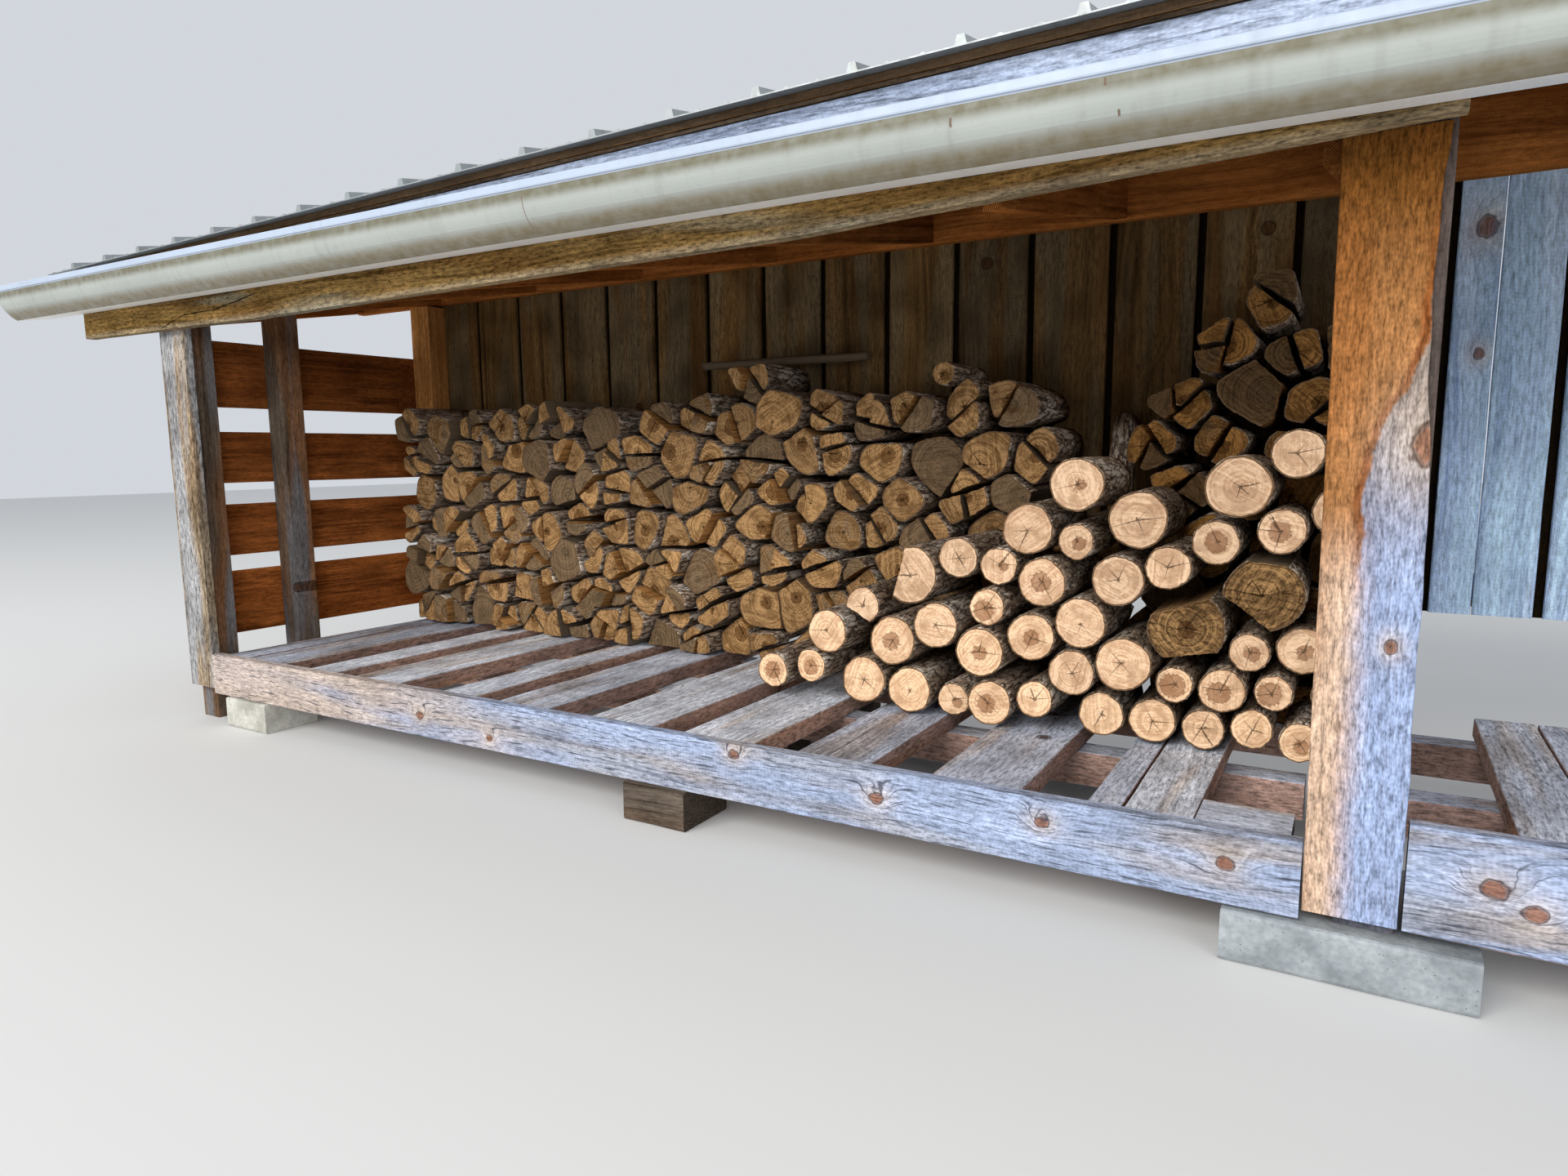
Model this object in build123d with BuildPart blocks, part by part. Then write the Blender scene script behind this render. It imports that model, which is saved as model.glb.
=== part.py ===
# Open-fronted timber log store: a lean-to with two equal bays under one
# ribbed metal roof, a slatted deck held off the ground, spaced end boards,
# a boarded back and a gutter along the front.
#
# Frame: millimetres. X runs along the front, Y from the open front to the
# back, Z up. The origin is on the ground under the middle of the whole.
import os
from math import atan, cos, hypot, pi, sin
from random import Random

from build123d import *

os.makedirs("parts", exist_ok=True)

# ---------------------------------------------------------------- overall
y_shift = -540.7            # front face of the posts, measured from the middle
post_outer = 3890.0         # outer side of the corner posts
roof_half = 4470.0          # half length of the ribbed sheet
beam_half = 4350.0          # half length of the front beam and the ledger
gutter_half = 4620.0        # half length of the gutter

# ---------------------------------------------------------------- posts
post_board_t = 34.0
post_board_w = 157.0
post_w = 100.0
corner_post_back_w = 120.0
post_board_z = (130.0, 1478.0)
corner_post_top = 1680.0
middle_post_y = (390.0, 487.0)
middle_post_top = 1640.0
back_post_y = (1120.0, 1220.0)

# ---------------------------------------------------------------- ends
end_board_t = 25.0
end_board_z = ((1195.0, 1449.0), (900.0, 1101.0), (613.0, 816.0), (300.0, 550.0))
end_board_y = ((34.0, 1218.0), (34.0, 1213.0), (34.0, 1219.0), (34.0, 1210.0))

# ---------------------------------------------------------------- deck
rim_t = 38.0
rim_left_z = (110.0, 262.0)
rim_right_z = (128.0, 331.0)
rim_inner_left = -79.0
rim_inner_right = 87.0
rim_outer = 3741.0
deck_top = 258.0
slat_t = 55.0
slat_y = (38.0, 1216.0)
slats = (
    (-3712.0, -3585.0), (-3562.0, -3349.0), (-3202.0, -3058.0),
    (-2947.0, -2722.0), (-2512.0, -2361.0), (-2259.0, -2052.0),
    (-1891.0, -1664.0), (-1562.0, -1334.0), (-1207.0, -1001.0),
    (-847.0, -632.0), (-491.0, -419.0), (-415.0, -277.0),
)
sleeper_w = 90.0
sleeper_z = (110.0, 203.0)
sleeper_y = (38.0, 560.0, 1085.0)
sleeper_x = (-3700.0, -100.0)

# ---------------------------------------------------------------- footings
slab_x = (-213.0, 211.0)
slab_y = (-15.0, 385.0)
slab_h = 104.0
block_h = 110.0
block_y = ((-15.0, 190.0), (530.0, 680.0), (1040.0, 1215.0))
timber_block_x = (1520.0, 1725.0)
pale_block_x = (3400.0, 3645.0)

# ---------------------------------------------------------------- back wall
wall_y = 1220.0
wall_t = 22.0
wall_z = (543.0, 1922.0)
wall_pitch = 256.5
wall_gap = 20.0
wall_gap_left = 30.0        # middle of the first groove of the left bay
wall_gap_right = 140.0      # middle of the first groove of the right bay
batten_w = 60.0
batten_t = 18.0
rail_t = 38.0
rail_z = ((560.0, 650.0), (1845.0, 1935.0))

# ---------------------------------------------------------------- roof
fall = 0.1777               # drop towards the front for each unit of depth
tilt = 0.0185               # rise of the roof towards the middle
sheathing_mid_z = 1782.0    # underside of the sheathing at the front, middle
sheathing_h = 18.3
sheathing_y = (-45.0, 1242.0)
sheet_y = (-95.0, 1250.0)
sheet_t = 3.0
rib_h = 19.0
rib_foot = 30.0
rib_head = 14.0
rib_pitch = 235.0
beam_y = (-40.0, -2.0)
beam_left_under = ((-4350.0, 1463.0), (-3280.0, 1457.0), (-1137.0, 1479.0),
                   (-900.0, 1490.0), (85.0, 1530.0))
beam_right_under = 1600.0
ledger_y = (1182.0, 1220.0)
ledger_z = (1690.0, 1914.0)
rafter_t = 38.0
rafter_under = 1484.0       # rafter underside at its front end
rafter_right_faces = (-4307.0, -3747.0, -3147.0, -2565.0, -1933.0, -1319.0,
                      -692.0, -82.0, 528.0, 1138.0, 1748.0, 2358.0, 2968.0,
                      3578.0, 4307.0)

# ---------------------------------------------------------------- gutter
gutter_t = 2.4
gutter_drop = 12.0          # fall of the gutter over each half
gutter_base_z = 1562.0
gutter_line = ((-41.2, 104.0), (-41.2, -2.6), (-153.6, -20.3), (-168.0, -11.0),
               (-181.2, 1.2), (-194.0, 15.5), (-201.8, 30.5), (-205.8, 44.5),
               (-208.3, 58.5), (-210.2, 78.5), (-215.4, 83.5), (-215.4, 98.5),
               (-207.0, 99.8), (-205.4, 92.0))

# ---------------------------------------------------------------- firewood
# round logs in the front pile: x, z, radius, front depth, back depth, and for a
# split log its flat faces, a*x + b*z <= c radii from its middle
round_logs = (
    (-113.7, 311.1, 51.4, 522, 785), (-975.1, 311.5, 50.5, 522, 845),
    (-326.4, 314.9, 55.2, 522, 785), (-445.9, 321.4, 61.7, 522, 785),
    (-572.3, 321.9, 62.0, 522, 785), (-856.9, 325.8, 65.8, 477, 845),
    (-1097.1, 330.2, 70.5, 495, 845), (-217.8, 332.8, 51.9, 513, 785),
    (-11.1, 335.0, 50.9, 495, 785), (-1546.8, 340.6, 58.0, 486, 845),
    (-1243.0, 342.9, 72.6, 495, 845), (-736.8, 349.0, 53.4, 486, 845),
    (-1417.8, 367.0, 54.2, 495, 845), (-395.8, 423.3, 49.0, 504, 785),
    (-285.6, 423.4, 58.1, 495, 785), (-56.0, 425.3, 46.5, 522, 785),
    (-176.0, 426.0, 46.7, 513, 785), (-645.3, 428.6, 64.8, 495, 785),
    (-887.0, 462.1, 71.3, 477, 845), (-1148.0, 468.1, 73.8, 486, 845),
    (-510.9, 470.8, 72.1, 459, 785), (-1345.7, 482.3, 68.3, 468, 845),
    (-753.5, 512.9, 68.4, 495, 845), (-10.0, 513.7, 49.8, 513, 785),
    (-232.1, 519.9, 49.6, 504, 785), (-1014.6, 525.1, 68.2, 477, 845),
    (-120.7, 533.3, 59.6, 513, 785), (-1242.6, 562.8, 57.1, 486, 845, (-0.5, -0.866, 0.55)),
    (-621.9, 563.6, 69.7, 477, 785), (-371.6, 568.1, 94.7, 486, 785, (-0.35, 0.937, 0.62), (0.2, -0.98, 0.72)),
    (-865.3, 588.3, 53.3, 468, 845), (-41.0, 625.0, 58.6, 513, 785),
    (-1097.3, 659.2, 86.2, 486, 845, (-0.97, 0.24, 0.42)), (-206.6, 662.6, 92.3, 468, 785, (-0.6, -0.8, 0.62), (0.1, 0.995, 0.86)),
    (-721.1, 662.9, 67.8, 468, 845), (-536.4, 675.7, 68.2, 486, 785),
    (-841.9, 696.9, 54.5, 486, 845), (-958.2, 713.6, 59.8, 495, 845),
    (-414.2, 717.5, 57.7, 459, 785), (-18.0, 742.4, 57.8, 513, 785),
    (-641.9, 769.3, 49.9, 486, 785), (-313.7, 780.8, 57.6, 477, 785),
    (-763.1, 798.2, 70.5, 477, 845), (-176.5, 811.8, 56.7, 477, 785),
    (-494.6, 828.2, 76.0, 495, 785), (-63.0, 857.0, 62.1, 513, 785),
    (-270.4, 911.9, 77.1, 459, 785), (-638.4, 915.0, 71.8, 459, 785),
    (-25.6, 982.3, 65.4, 513, 785), (-153.0, 988.1, 59.5, 468, 785),
)

# split wood, stacked with its cut ends to the front. Each stack: seed, least
# and greatest x of a piece's middle, least and greatest x of any wood, height of
# its top along x, front depth and back depth.
stack_gap = 4.0
stack_pitch = 168.0
stack_step = 9.0            # the cut ends stand at one of seven depths
back_stack = (11, -3715.0, -640.0, -3765.0, -613.0,
              ((-3730.0, 1205.0), (-3635.0, 1253.0), (-3202.0, 1240.0), (-2700.0, 1150.0),
               (-2520.0, 1112.0), (-2304.0, 1168.0), (-2063.0, 1190.0), (-1973.0, 1292.0),
               (-1614.0, 1215.0), (-1400.0, 1235.0), (-1167.0, 1275.0), (-850.0, 1230.0),
               (-812.0, 1110.0), (-800.0, 880.0), (-613.0, 860.0)),
              900.0, 1212.0)
tall_stack = (23, -545.0, 40.0, -603.0, 104.0,
              ((-560.0, 990.0), (-540.0, 1110.0), (-511.0, 1190.0), (-440.0, 1280.0), (-378.0, 1350.0),
               (-323.0, 1420.0), (-220.0, 1410.0), (-121.0, 1390.0), (52.0, 1350.0)),
              832.0, 1212.0)
stick = (-2228.0, -1528.0, 17.0, 1120.0)             # from x, to x, radius, depth
top_log = (-1169.0, 40.0, 905.0, 1205.0)             # x, radius, front and back depth
leaning_log = (-640.0, 960.0, -668.0, 1168.0, 225.0, 41.0)   # foot x and depth, head x and depth, rise, radius


def sheathing_under(x):
    """Underside of the sheathing at the beam's front face."""
    return sheathing_mid_z - tilt * abs(x)


def y_of(depth):
    return y_shift + depth


# ================================================================ posts
with BuildPart() as front_post_board_left:
    with Locations((-(rim_outer + post_board_w / 2), y_of(post_board_t / 2), sum(post_board_z) / 2)):
        Box(post_board_w, post_board_t, post_board_z[1] - post_board_z[0])

with BuildPart() as front_post_board_right:
    with Locations((rim_outer + post_board_w / 2, y_of(post_board_t / 2), sum(post_board_z) / 2)):
        Box(post_board_w, post_board_t, post_board_z[1] - post_board_z[0])

# wide board on the middle post, with one waney edge
with BuildPart() as centre_post_board:
    with BuildSketch(Plane.XZ.offset(-y_of(0))):
        with BuildLine():
            Line((83, 130), (-75, 130))
            Line((-75, 130), (-91, 1528))
            Line((-91, 1528), (71, 1528))
            Spline((71, 1528), (62, 1420), (58, 1290), (64, 1130), (76, 960), (81, 640), (83, 130))
        make_face()
    extrude(amount=-post_board_t)

with BuildPart() as centre_post:
    with Locations((27, y_of(post_board_t + post_w / 2), (slab_h + 1700.0) / 2)):
        Box(post_w, post_w, 1700.0 - slab_h)

with BuildPart() as corner_post_front_left:
    with Locations((-(post_outer - post_w / 2), y_of(post_board_t + post_w / 2), corner_post_top / 2)):
        Box(post_w, post_w, corner_post_top)

with BuildPart() as corner_post_front_right:
    with Locations((post_outer - post_w / 2, y_of(post_board_t + post_w / 2), corner_post_top / 2)):
        Box(post_w, post_w, corner_post_top)

with BuildPart() as middle_post_left:
    with Locations((-(post_outer - post_w / 2), y_of(sum(middle_post_y) / 2), middle_post_top / 2)):
        Box(post_w, middle_post_y[1] - middle_post_y[0], middle_post_top)

with BuildPart() as middle_post_right:
    with Locations((post_outer - post_w / 2, y_of(sum(middle_post_y) / 2), middle_post_top / 2)):
        Box(post_w, middle_post_y[1] - middle_post_y[0], middle_post_top)

with BuildPart() as corner_post_back_left:
    with Locations((-(post_outer - corner_post_back_w / 2), y_of(sum(back_post_y) / 2), corner_post_top / 2)):
        Box(corner_post_back_w, back_post_y[1] - back_post_y[0], corner_post_top)

with BuildPart() as corner_post_back_right:
    with Locations((post_outer - corner_post_back_w / 2, y_of(sum(back_post_y) / 2), corner_post_top / 2)):
        Box(corner_post_back_w, back_post_y[1] - back_post_y[0], corner_post_top)

# ================================================================ end boards
end_boards = {}
for side, sign in (("left", -1), ("right", 1)):
    for number in range(4):
        z_low, z_high = end_board_z[number]
        y_low, y_high = end_board_y[number]
        with BuildPart() as end_board:
            with Locations((sign * (post_outer + end_board_t / 2), y_of((y_low + y_high) / 2), (z_low + z_high) / 2)):
                Box(end_board_t, y_high - y_low, z_high - z_low)
        end_boards[f"end_board_{side}_{number + 1}"] = end_board

# ================================================================ deck
with BuildPart() as rim_board_left:
    with Locations(((rim_inner_left - rim_outer) / 2, y_of(rim_t / 2), sum(rim_left_z) / 2)):
        Box(rim_outer + rim_inner_left, rim_t, rim_left_z[1] - rim_left_z[0])

with BuildPart() as rim_board_right:
    with Locations(((rim_inner_right + rim_outer) / 2, y_of(rim_t / 2), sum(rim_right_z) / 2)):
        Box(rim_outer - rim_inner_right, rim_t, rim_right_z[1] - rim_right_z[0])

with BuildPart() as sleepers_left:
    with Locations(*[(sum(sleeper_x) / 2, y_of(y + sleeper_w / 2), sum(sleeper_z) / 2) for y in sleeper_y]):
        Box(sleeper_x[1] - sleeper_x[0], sleeper_w, sleeper_z[1] - sleeper_z[0])

with BuildPart() as sleepers_right:
    with Locations(*[(-sum(sleeper_x) / 2, y_of(y + sleeper_w / 2), sum(sleeper_z) / 2) for y in sleeper_y]):
        Box(sleeper_x[1] - sleeper_x[0], sleeper_w, sleeper_z[1] - sleeper_z[0])

# slats run from front to back, with one short board along the rim
with BuildPart() as deck_slats_left:
    for low, high in slats:
        with Locations(((low + high) / 2, y_of(sum(slat_y) / 2), deck_top - slat_t / 2)):
            Box(high - low, slat_y[1] - slat_y[0], slat_t)
    with Locations((-188.0, y_of(38.0 + 70.0), deck_top - 19.0)):
        Box(174.0, 140.0, 38.0)

with BuildPart() as deck_slats_right:
    for low, high in slats:
        with Locations((-(low + high) / 2, y_of(sum(slat_y) / 2), deck_top - slat_t / 2)):
            Box(high - low, slat_y[1] - slat_y[0], slat_t)
    with Locations((192.0, y_of(38.0 + 70.0), deck_top - 19.0)):
        Box(166.0, 140.0, 38.0)

# ================================================================ footings
with BuildPart() as centre_slab:
    with Locations((sum(slab_x) / 2, y_of(sum(slab_y) / 2), slab_h / 2)):
        Box(slab_x[1] - slab_x[0], slab_y[1] - slab_y[0], slab_h)

with BuildPart() as timber_blocks:
    for sign in (-1, 1):
        for low, high in block_y:
            with Locations((sign * sum(timber_block_x) / 2, y_of((low + high) / 2), block_h / 2)):
                Box(timber_block_x[1] - timber_block_x[0], high - low, block_h)

with BuildPart() as pale_blocks:
    for sign in (-1, 1):
        for low, high in block_y:
            with Locations((sign * sum(pale_block_x) / 2, y_of((low + high) / 2), block_h / 2)):
                Box(pale_block_x[1] - pale_block_x[0], high - low, block_h)

# ================================================================ back wall
gap_middles = [wall_gap_left - wall_pitch * k for k in range(16)]
gap_middles += [wall_gap_right + wall_pitch * k for k in range(15)]
gap_middles = sorted(g for g in gap_middles if abs(g) < post_outer - 40)
edges = [-post_outer] + [e for g in gap_middles for e in (g - wall_gap / 2, g + wall_gap / 2)] + [post_outer]
wall_boards = [(edges[i], edges[i + 1]) for i in range(0, len(edges), 2)]

with BuildPart() as back_boards_left:
    for low, high in wall_boards:
        if (low + high) / 2 < 0:
            with Locations(((low + high) / 2, y_of(wall_y + wall_t / 2), sum(wall_z) / 2)):
                Box(high - low, wall_t, wall_z[1] - wall_z[0])

with BuildPart() as back_boards_right:
    for low, high in wall_boards:
        if (low + high) / 2 > 0:
            with Locations(((low + high) / 2, y_of(wall_y + wall_t / 2), sum(wall_z) / 2)):
                Box(high - low, wall_t, wall_z[1] - wall_z[0])

with BuildPart() as back_battens:
    for g in gap_middles:
        with Locations((g, y_of(wall_y + wall_t + batten_t / 2), sum(wall_z) / 2)):
            Box(batten_w, batten_t, wall_z[1] - wall_z[0])

with BuildPart() as back_rails:
    for low, high in rail_z:
        with Locations((0, y_of(wall_y + wall_t + batten_t + rail_t / 2), (low + high) / 2)):
            Box(2 * post_outer, rail_t, high - low)

# ================================================================ roof frame
with BuildPart() as ledger:
    with Locations((0, y_of(sum(ledger_y) / 2), sum(ledger_z) / 2)):
        Box(2 * beam_half, ledger_y[1] - ledger_y[0], ledger_z[1] - ledger_z[0])

with BuildPart() as rafters:
    for face in rafter_right_faces:
        start = face - rafter_t
        outer = max(abs(start), abs(face))
        front = beam_y[1] if abs(face + 82.0) > 1 else post_board_t
        back = ledger_y[0]
        low_front = rafter_under + fall * (front - beam_y[1])
        low_back = rafter_under + fall * (back - beam_y[1])
        high_front = sheathing_under(outer) + fall * (front - beam_y[0])
        high_back = sheathing_under(outer) + fall * (back - beam_y[0])
        with BuildSketch(Plane.YZ.offset(start)):
            with BuildLine():
                Polyline((y_of(front), low_front), (y_of(back), low_back),
                         (y_of(back), high_back), (y_of(front), high_front), close=True)
            make_face()
        extrude(amount=rafter_t)

with BuildPart() as front_beam_left:
    with BuildSketch(Plane.XZ.offset(-y_of(beam_y[0]))):
        with BuildLine():
            Polyline(*beam_left_under, (85.0, sheathing_under(85.0)), (0.0, sheathing_under(0.0) - 85.0 * tilt),
                     (-beam_half, sheathing_under(beam_half)), close=True)
        make_face()
    extrude(amount=-(beam_y[1] - beam_y[0]))

with BuildPart() as front_beam_right:
    with BuildSketch(Plane.XZ.offset(-y_of(beam_y[0]))):
        with BuildLine():
            Polyline((85.0, beam_right_under), (beam_half, beam_right_under),
                     (beam_half, sheathing_under(beam_half)), (85.0, sheathing_under(85.0)), close=True)
        make_face()
    extrude(amount=-(beam_y[1] - beam_y[0]))

run = hypot(1.0, tilt)
sheathing_half = beam_half + 5.0


def sheathing_profile(x):
    low = sheathing_under(x)
    corners = []
    for depth, up in ((sheathing_y[0], 0), (sheathing_y[1], 0), (sheathing_y[1], sheathing_h), (sheathing_y[0], sheathing_h)):
        corners.append((y_of(depth), low + fall * (depth - beam_y[0]) + up))
    return corners


with BuildPart() as roof_boards_left:
    with BuildSketch(Plane.YZ.offset(-sheathing_half)):
        with BuildLine():
            Polyline(*sheathing_profile(sheathing_half), close=True)
        make_face()
    extrude(amount=sheathing_half * run, dir=(1, 0, tilt))

with BuildPart() as roof_boards_right:
    with BuildSketch(Plane.YZ.offset(sheathing_half)):
        with BuildLine():
            Polyline(*sheathing_profile(sheathing_half), close=True)
        make_face()
    extrude(amount=sheathing_half * run, dir=(-1, 0, tilt))

slope = atan(fall)
sheet_length = (sheet_y[1] - sheet_y[0]) / cos(slope)


def sheet_profile(sign):
    """Section of the ribbed sheet in the vertical plane at its front edge."""
    def at(x, up):
        base = sheathing_under(x) + sheathing_h + fall * (sheet_y[0] - beam_y[0])
        return (sign * x, base + up)
    points = [at(0.0, 0.0), at(0.0, sheet_t)]
    middle = 42.0
    while middle < roof_half - 20:
        points += [at(middle - rib_foot / 2, sheet_t), at(middle - rib_head / 2, sheet_t + rib_h),
                   at(middle + rib_head / 2, sheet_t + rib_h), at(middle + rib_foot / 2, sheet_t)]
        middle += rib_pitch
    points += [at(roof_half, sheet_t), at(roof_half, 0.0)]
    return points


with BuildPart() as roof_sheet_left:
    with BuildSketch(Plane.XZ.offset(-y_of(sheet_y[0]))):
        with BuildLine():
            Polyline(*sheet_profile(-1), close=True)
        make_face()
    extrude(amount=sheet_length, dir=(0, cos(slope), sin(slope)))

with BuildPart() as roof_sheet_right:
    with BuildSketch(Plane.XZ.offset(-y_of(sheet_y[0]))):
        with BuildLine():
            Polyline(*sheet_profile(1), close=True)
        make_face()
    extrude(amount=sheet_length, dir=(0, cos(slope), sin(slope)))

# ================================================================ gutter
gutter_run = hypot(gutter_half, gutter_drop)

with BuildPart() as gutter_left:
    with BuildSketch(Plane.YZ.offset(-gutter_half)):
        with BuildLine():
            Polyline(*[(y_of(y), gutter_base_z + z) for y, z in gutter_line])
        trace(line_width=gutter_t)
    extrude(amount=gutter_run, dir=(gutter_half, 0, -gutter_drop))
    with BuildSketch(Plane.YZ.offset(-gutter_half)):
        with BuildLine():
            Polyline(*[(y_of(y), gutter_base_z + z) for y, z in gutter_line[:12]], close=True)
        make_face()
    extrude(amount=gutter_t, dir=(1, 0, 0))

with BuildPart() as gutter_right:
    with BuildSketch(Plane.YZ.offset(gutter_half)):
        with BuildLine():
            Polyline(*[(y_of(y), gutter_base_z - 2 * gutter_drop + z) for y, z in gutter_line])
        trace(line_width=gutter_t)
    extrude(amount=gutter_run, dir=(-gutter_half, 0, gutter_drop))
    with BuildSketch(Plane.YZ.offset(gutter_half)):
        with BuildLine():
            Polyline(*[(y_of(y), gutter_base_z - 2 * gutter_drop + z) for y, z in gutter_line[:12]], close=True)
        make_face()
    extrude(amount=gutter_t, dir=(-1, 0, 0))

# ================================================================ firewood
def cut(polygon, a, b, c):
    """The part of a convex polygon where a*x + b*z <= c."""
    kept = []
    for i, (x0, z0) in enumerate(polygon):
        x1, z1 = polygon[(i + 1) % len(polygon)]
        s0, s1 = a * x0 + b * z0 - c, a * x1 + b * z1 - c
        if s0 <= 0:
            kept.append((x0, z0))
        if (s0 < 0 < s1) or (s1 < 0 < s0):
            t = s0 / (s0 - s1)
            kept.append((x0 + t * (x1 - x0), z0 + t * (z1 - z0)))
    return kept


def measure(polygon):
    """Area and middle of a polygon."""
    area = mx = mz = 0.0
    for i, (x0, z0) in enumerate(polygon):
        x1, z1 = polygon[(i + 1) % len(polygon)]
        cross = x0 * z1 - x1 * z0
        area += cross / 2
        mx += (x0 + x1) * cross / 6
        mz += (z0 + z1) * cross / 6
    return abs(area), mx / area, mz / area


def side_lines(polygon):
    """Its sides as (a, b, c), with a*x + b*z <= c inside."""
    _, mx, mz = measure(polygon)
    sides = []
    for i, (x0, z0) in enumerate(polygon):
        x1, z1 = polygon[(i + 1) % len(polygon)]
        length = hypot(x1 - x0, z1 - z0)
        if length < 0.5:
            continue
        a, b = (z1 - z0) / length, -(x1 - x0) / length
        if a * mx + b * mz > a * x0 + b * z0:
            a, b = -a, -b
        sides.append((a, b, a * x0 + b * z0))
    return sides


def top_at(profile, x):
    for (x0, z0), (x1, z1) in zip(profile, profile[1:]):
        if x0 <= x <= x1:
            return z0 + (z1 - z0) * (x - x0) / (x1 - x0)
    return 0.0


def stacked(stack, around):
    """Split pieces of a stack, each as its outline in x and z, the middle of its
    growth rings, its front and back depth, and the lines of its split faces. The
    bark side is round and the split sides are straight."""
    seed, left, right, low_x, high_x, profile, front, back = stack
    dice = Random(seed)
    floor = deck_top + 1.0
    highest = max(z for _, z in profile) + 60.0
    seeds = []
    row, z = 0, floor + 0.35 * stack_pitch
    while z < 1560.0:
        x = left - 1.5 * stack_pitch + (row % 2) * stack_pitch / 2
        while x < right + 2.0 * stack_pitch:
            seeds.append((x + (dice.random() - 0.5) * 0.62 * stack_pitch, z + (dice.random() - 0.5) * 0.46 * stack_pitch))
            x += stack_pitch
        row += 1
        z += 0.80 * stack_pitch
    pieces = []
    for i, (sx, sz) in enumerate(seeds):
        cell = [(low_x, floor), (high_x, floor), (high_x, highest), (low_x, highest)]
        for j, (ox, oz) in enumerate(seeds):
            if i != j and abs(ox - sx) < 3 * stack_pitch and abs(oz - sz) < 3 * stack_pitch:
                cell = cut(cell, ox - sx, oz - sz, (ox * ox + oz * oz - sx * sx - sz * sz) / 2)
                if len(cell) < 3:
                    break
        kind, turn, shift, second = dice.random(), dice.random(), dice.random(), dice.random()
        if len(cell) < 3:
            continue
        area, mx, mz = measure(cell)
        if area < 2500 or not left <= mx <= right or mz > top_at(profile, mx) - 12.0:
            continue
        parts = [(cell, [])]
        if kind > 0.30:
            # a log split in two or three, the pieces put back side by side
            a, b = cos(pi * turn), sin(pi * turn)
            c = a * mx + b * mz + (shift - 0.5) * 44.0
            parts = [(cut(cell, a, b, c), [(a, b, c)]), (cut(cell, -a, -b, -c), [(-a, -b, -c)])]
            if kind > 0.62:
                parts.sort(key=lambda q: measure(q[0])[0])
                half, split = parts.pop()
                _, hx, hz = measure(half)
                lean = pi * turn + pi / 2 + (second - 0.5) * 1.5
                a, b = cos(lean), sin(lean)
                c = a * hx + b * hz
                parts += [(cut(half, a, b, c), split + [(a, b, c)]), (cut(half, -a, -b, -c), split + [(-a, -b, -c)])]
        elif kind > 0.07:
            # one piece with one, two or three of its sides split
            sides = side_lines(cell)
            first = int(turn * len(sides))
            chosen = [sides[(first + k) % len(sides)] for k in range(1 + int(second * 2.6))]
            parts = [(cell, chosen)]
            sa, sb = sum(s[0] for s in chosen), sum(s[1] for s in chosen)
            size = hypot(sa, sb) + 1e-6
            mx, mz = mx + 42.0 * sa / size, mz + 42.0 * sb / size
        for part, splits in parts:
            depth = front + stack_step * (int(dice.random() * 7) - 3)
            twist = (dice.random() - 0.5) * 0.26
            if len(part) < 3 or measure(part)[0] < 2000:
                continue
            area, px, pz = measure(part)
            bark = [s for s in side_lines(part) if all(abs(s[0] - t[0]) + abs(s[1] - t[1]) > 1e-4 for t in splits)]
            widest = 1.45 * (area / pi) ** 0.5 if splits else 1.06 * (area / pi) ** 0.5
            outline = []
            for k in range(around):
                ca, sa = cos(2 * pi * k / around), sin(2 * pi * k / around)
                total = widest ** -7
                for a, b, c in bark:
                    if a * ca + b * sa > 0.02:
                        total += ((a * ca + b * sa) / (c - a * px - b * pz)) ** 7
                r = total ** (-1.0 / 7)
                outline.append((px + r * ca, pz + r * sa))
            for a, b, c in splits:
                outline = cut(outline, a, b, c)
            # turned a little, then made small enough to clear its neighbours
            ct, st = cos(twist), sin(twist)
            scale = 1.0
            for a, b, c in side_lines(part):
                reach = max(a * (ct * (x - px) - st * (z - pz)) + b * (st * (x - px) + ct * (z - pz)) for x, z in outline)
                scale = min(scale, (c - a * px - b * pz - stack_gap / 2) / reach)
            ct, st = ct * scale, st * scale
            placed = [(px + ct * (x - px) - st * (z - pz), pz + st * (x - px) + ct * (z - pz)) for x, z in outline]
            pith = (px + ct * (mx - px) - st * (mz - pz), pz + st * (mx - px) + ct * (mz - pz))
            faces = [((a * ct - b * st) / scale, (a * st + b * ct) / scale, (c - a * px - b * pz) * scale) for a, b, c in splits]
            faces = [(a, b, c + a * px + b * pz) for a, b, c in faces]
            pieces.append((placed, pith, depth, back, faces))
    return pieces


def highest_in(pieces, low, high):
    """Top of the wood between two places along the front."""
    return max(z for piece in pieces for x, z in piece[0] if low <= x <= high)


def log_outline(radius, cuts):
    """Outline of a round log, flat where it is split."""
    outline = [(radius * cos(2 * pi * k / 24), radius * sin(2 * pi * k / 24)) for k in range(24)]
    for a, b, c in cuts:
        outline = cut(outline, a, b, c * radius)
    return outline


def tidy(outline, least):
    """Drops points that crowd the one before them."""
    kept = []
    for point in outline:
        if not kept or hypot(point[0] - kept[-1][0], point[1] - kept[-1][1]) > least:
            kept.append(point)
    if hypot(kept[0][0] - kept[-1][0], kept[0][1] - kept[-1][1]) <= least:
        kept.pop()
    return kept


pile_ends = sorted({(log[3], log[4]) for log in round_logs})

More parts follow.
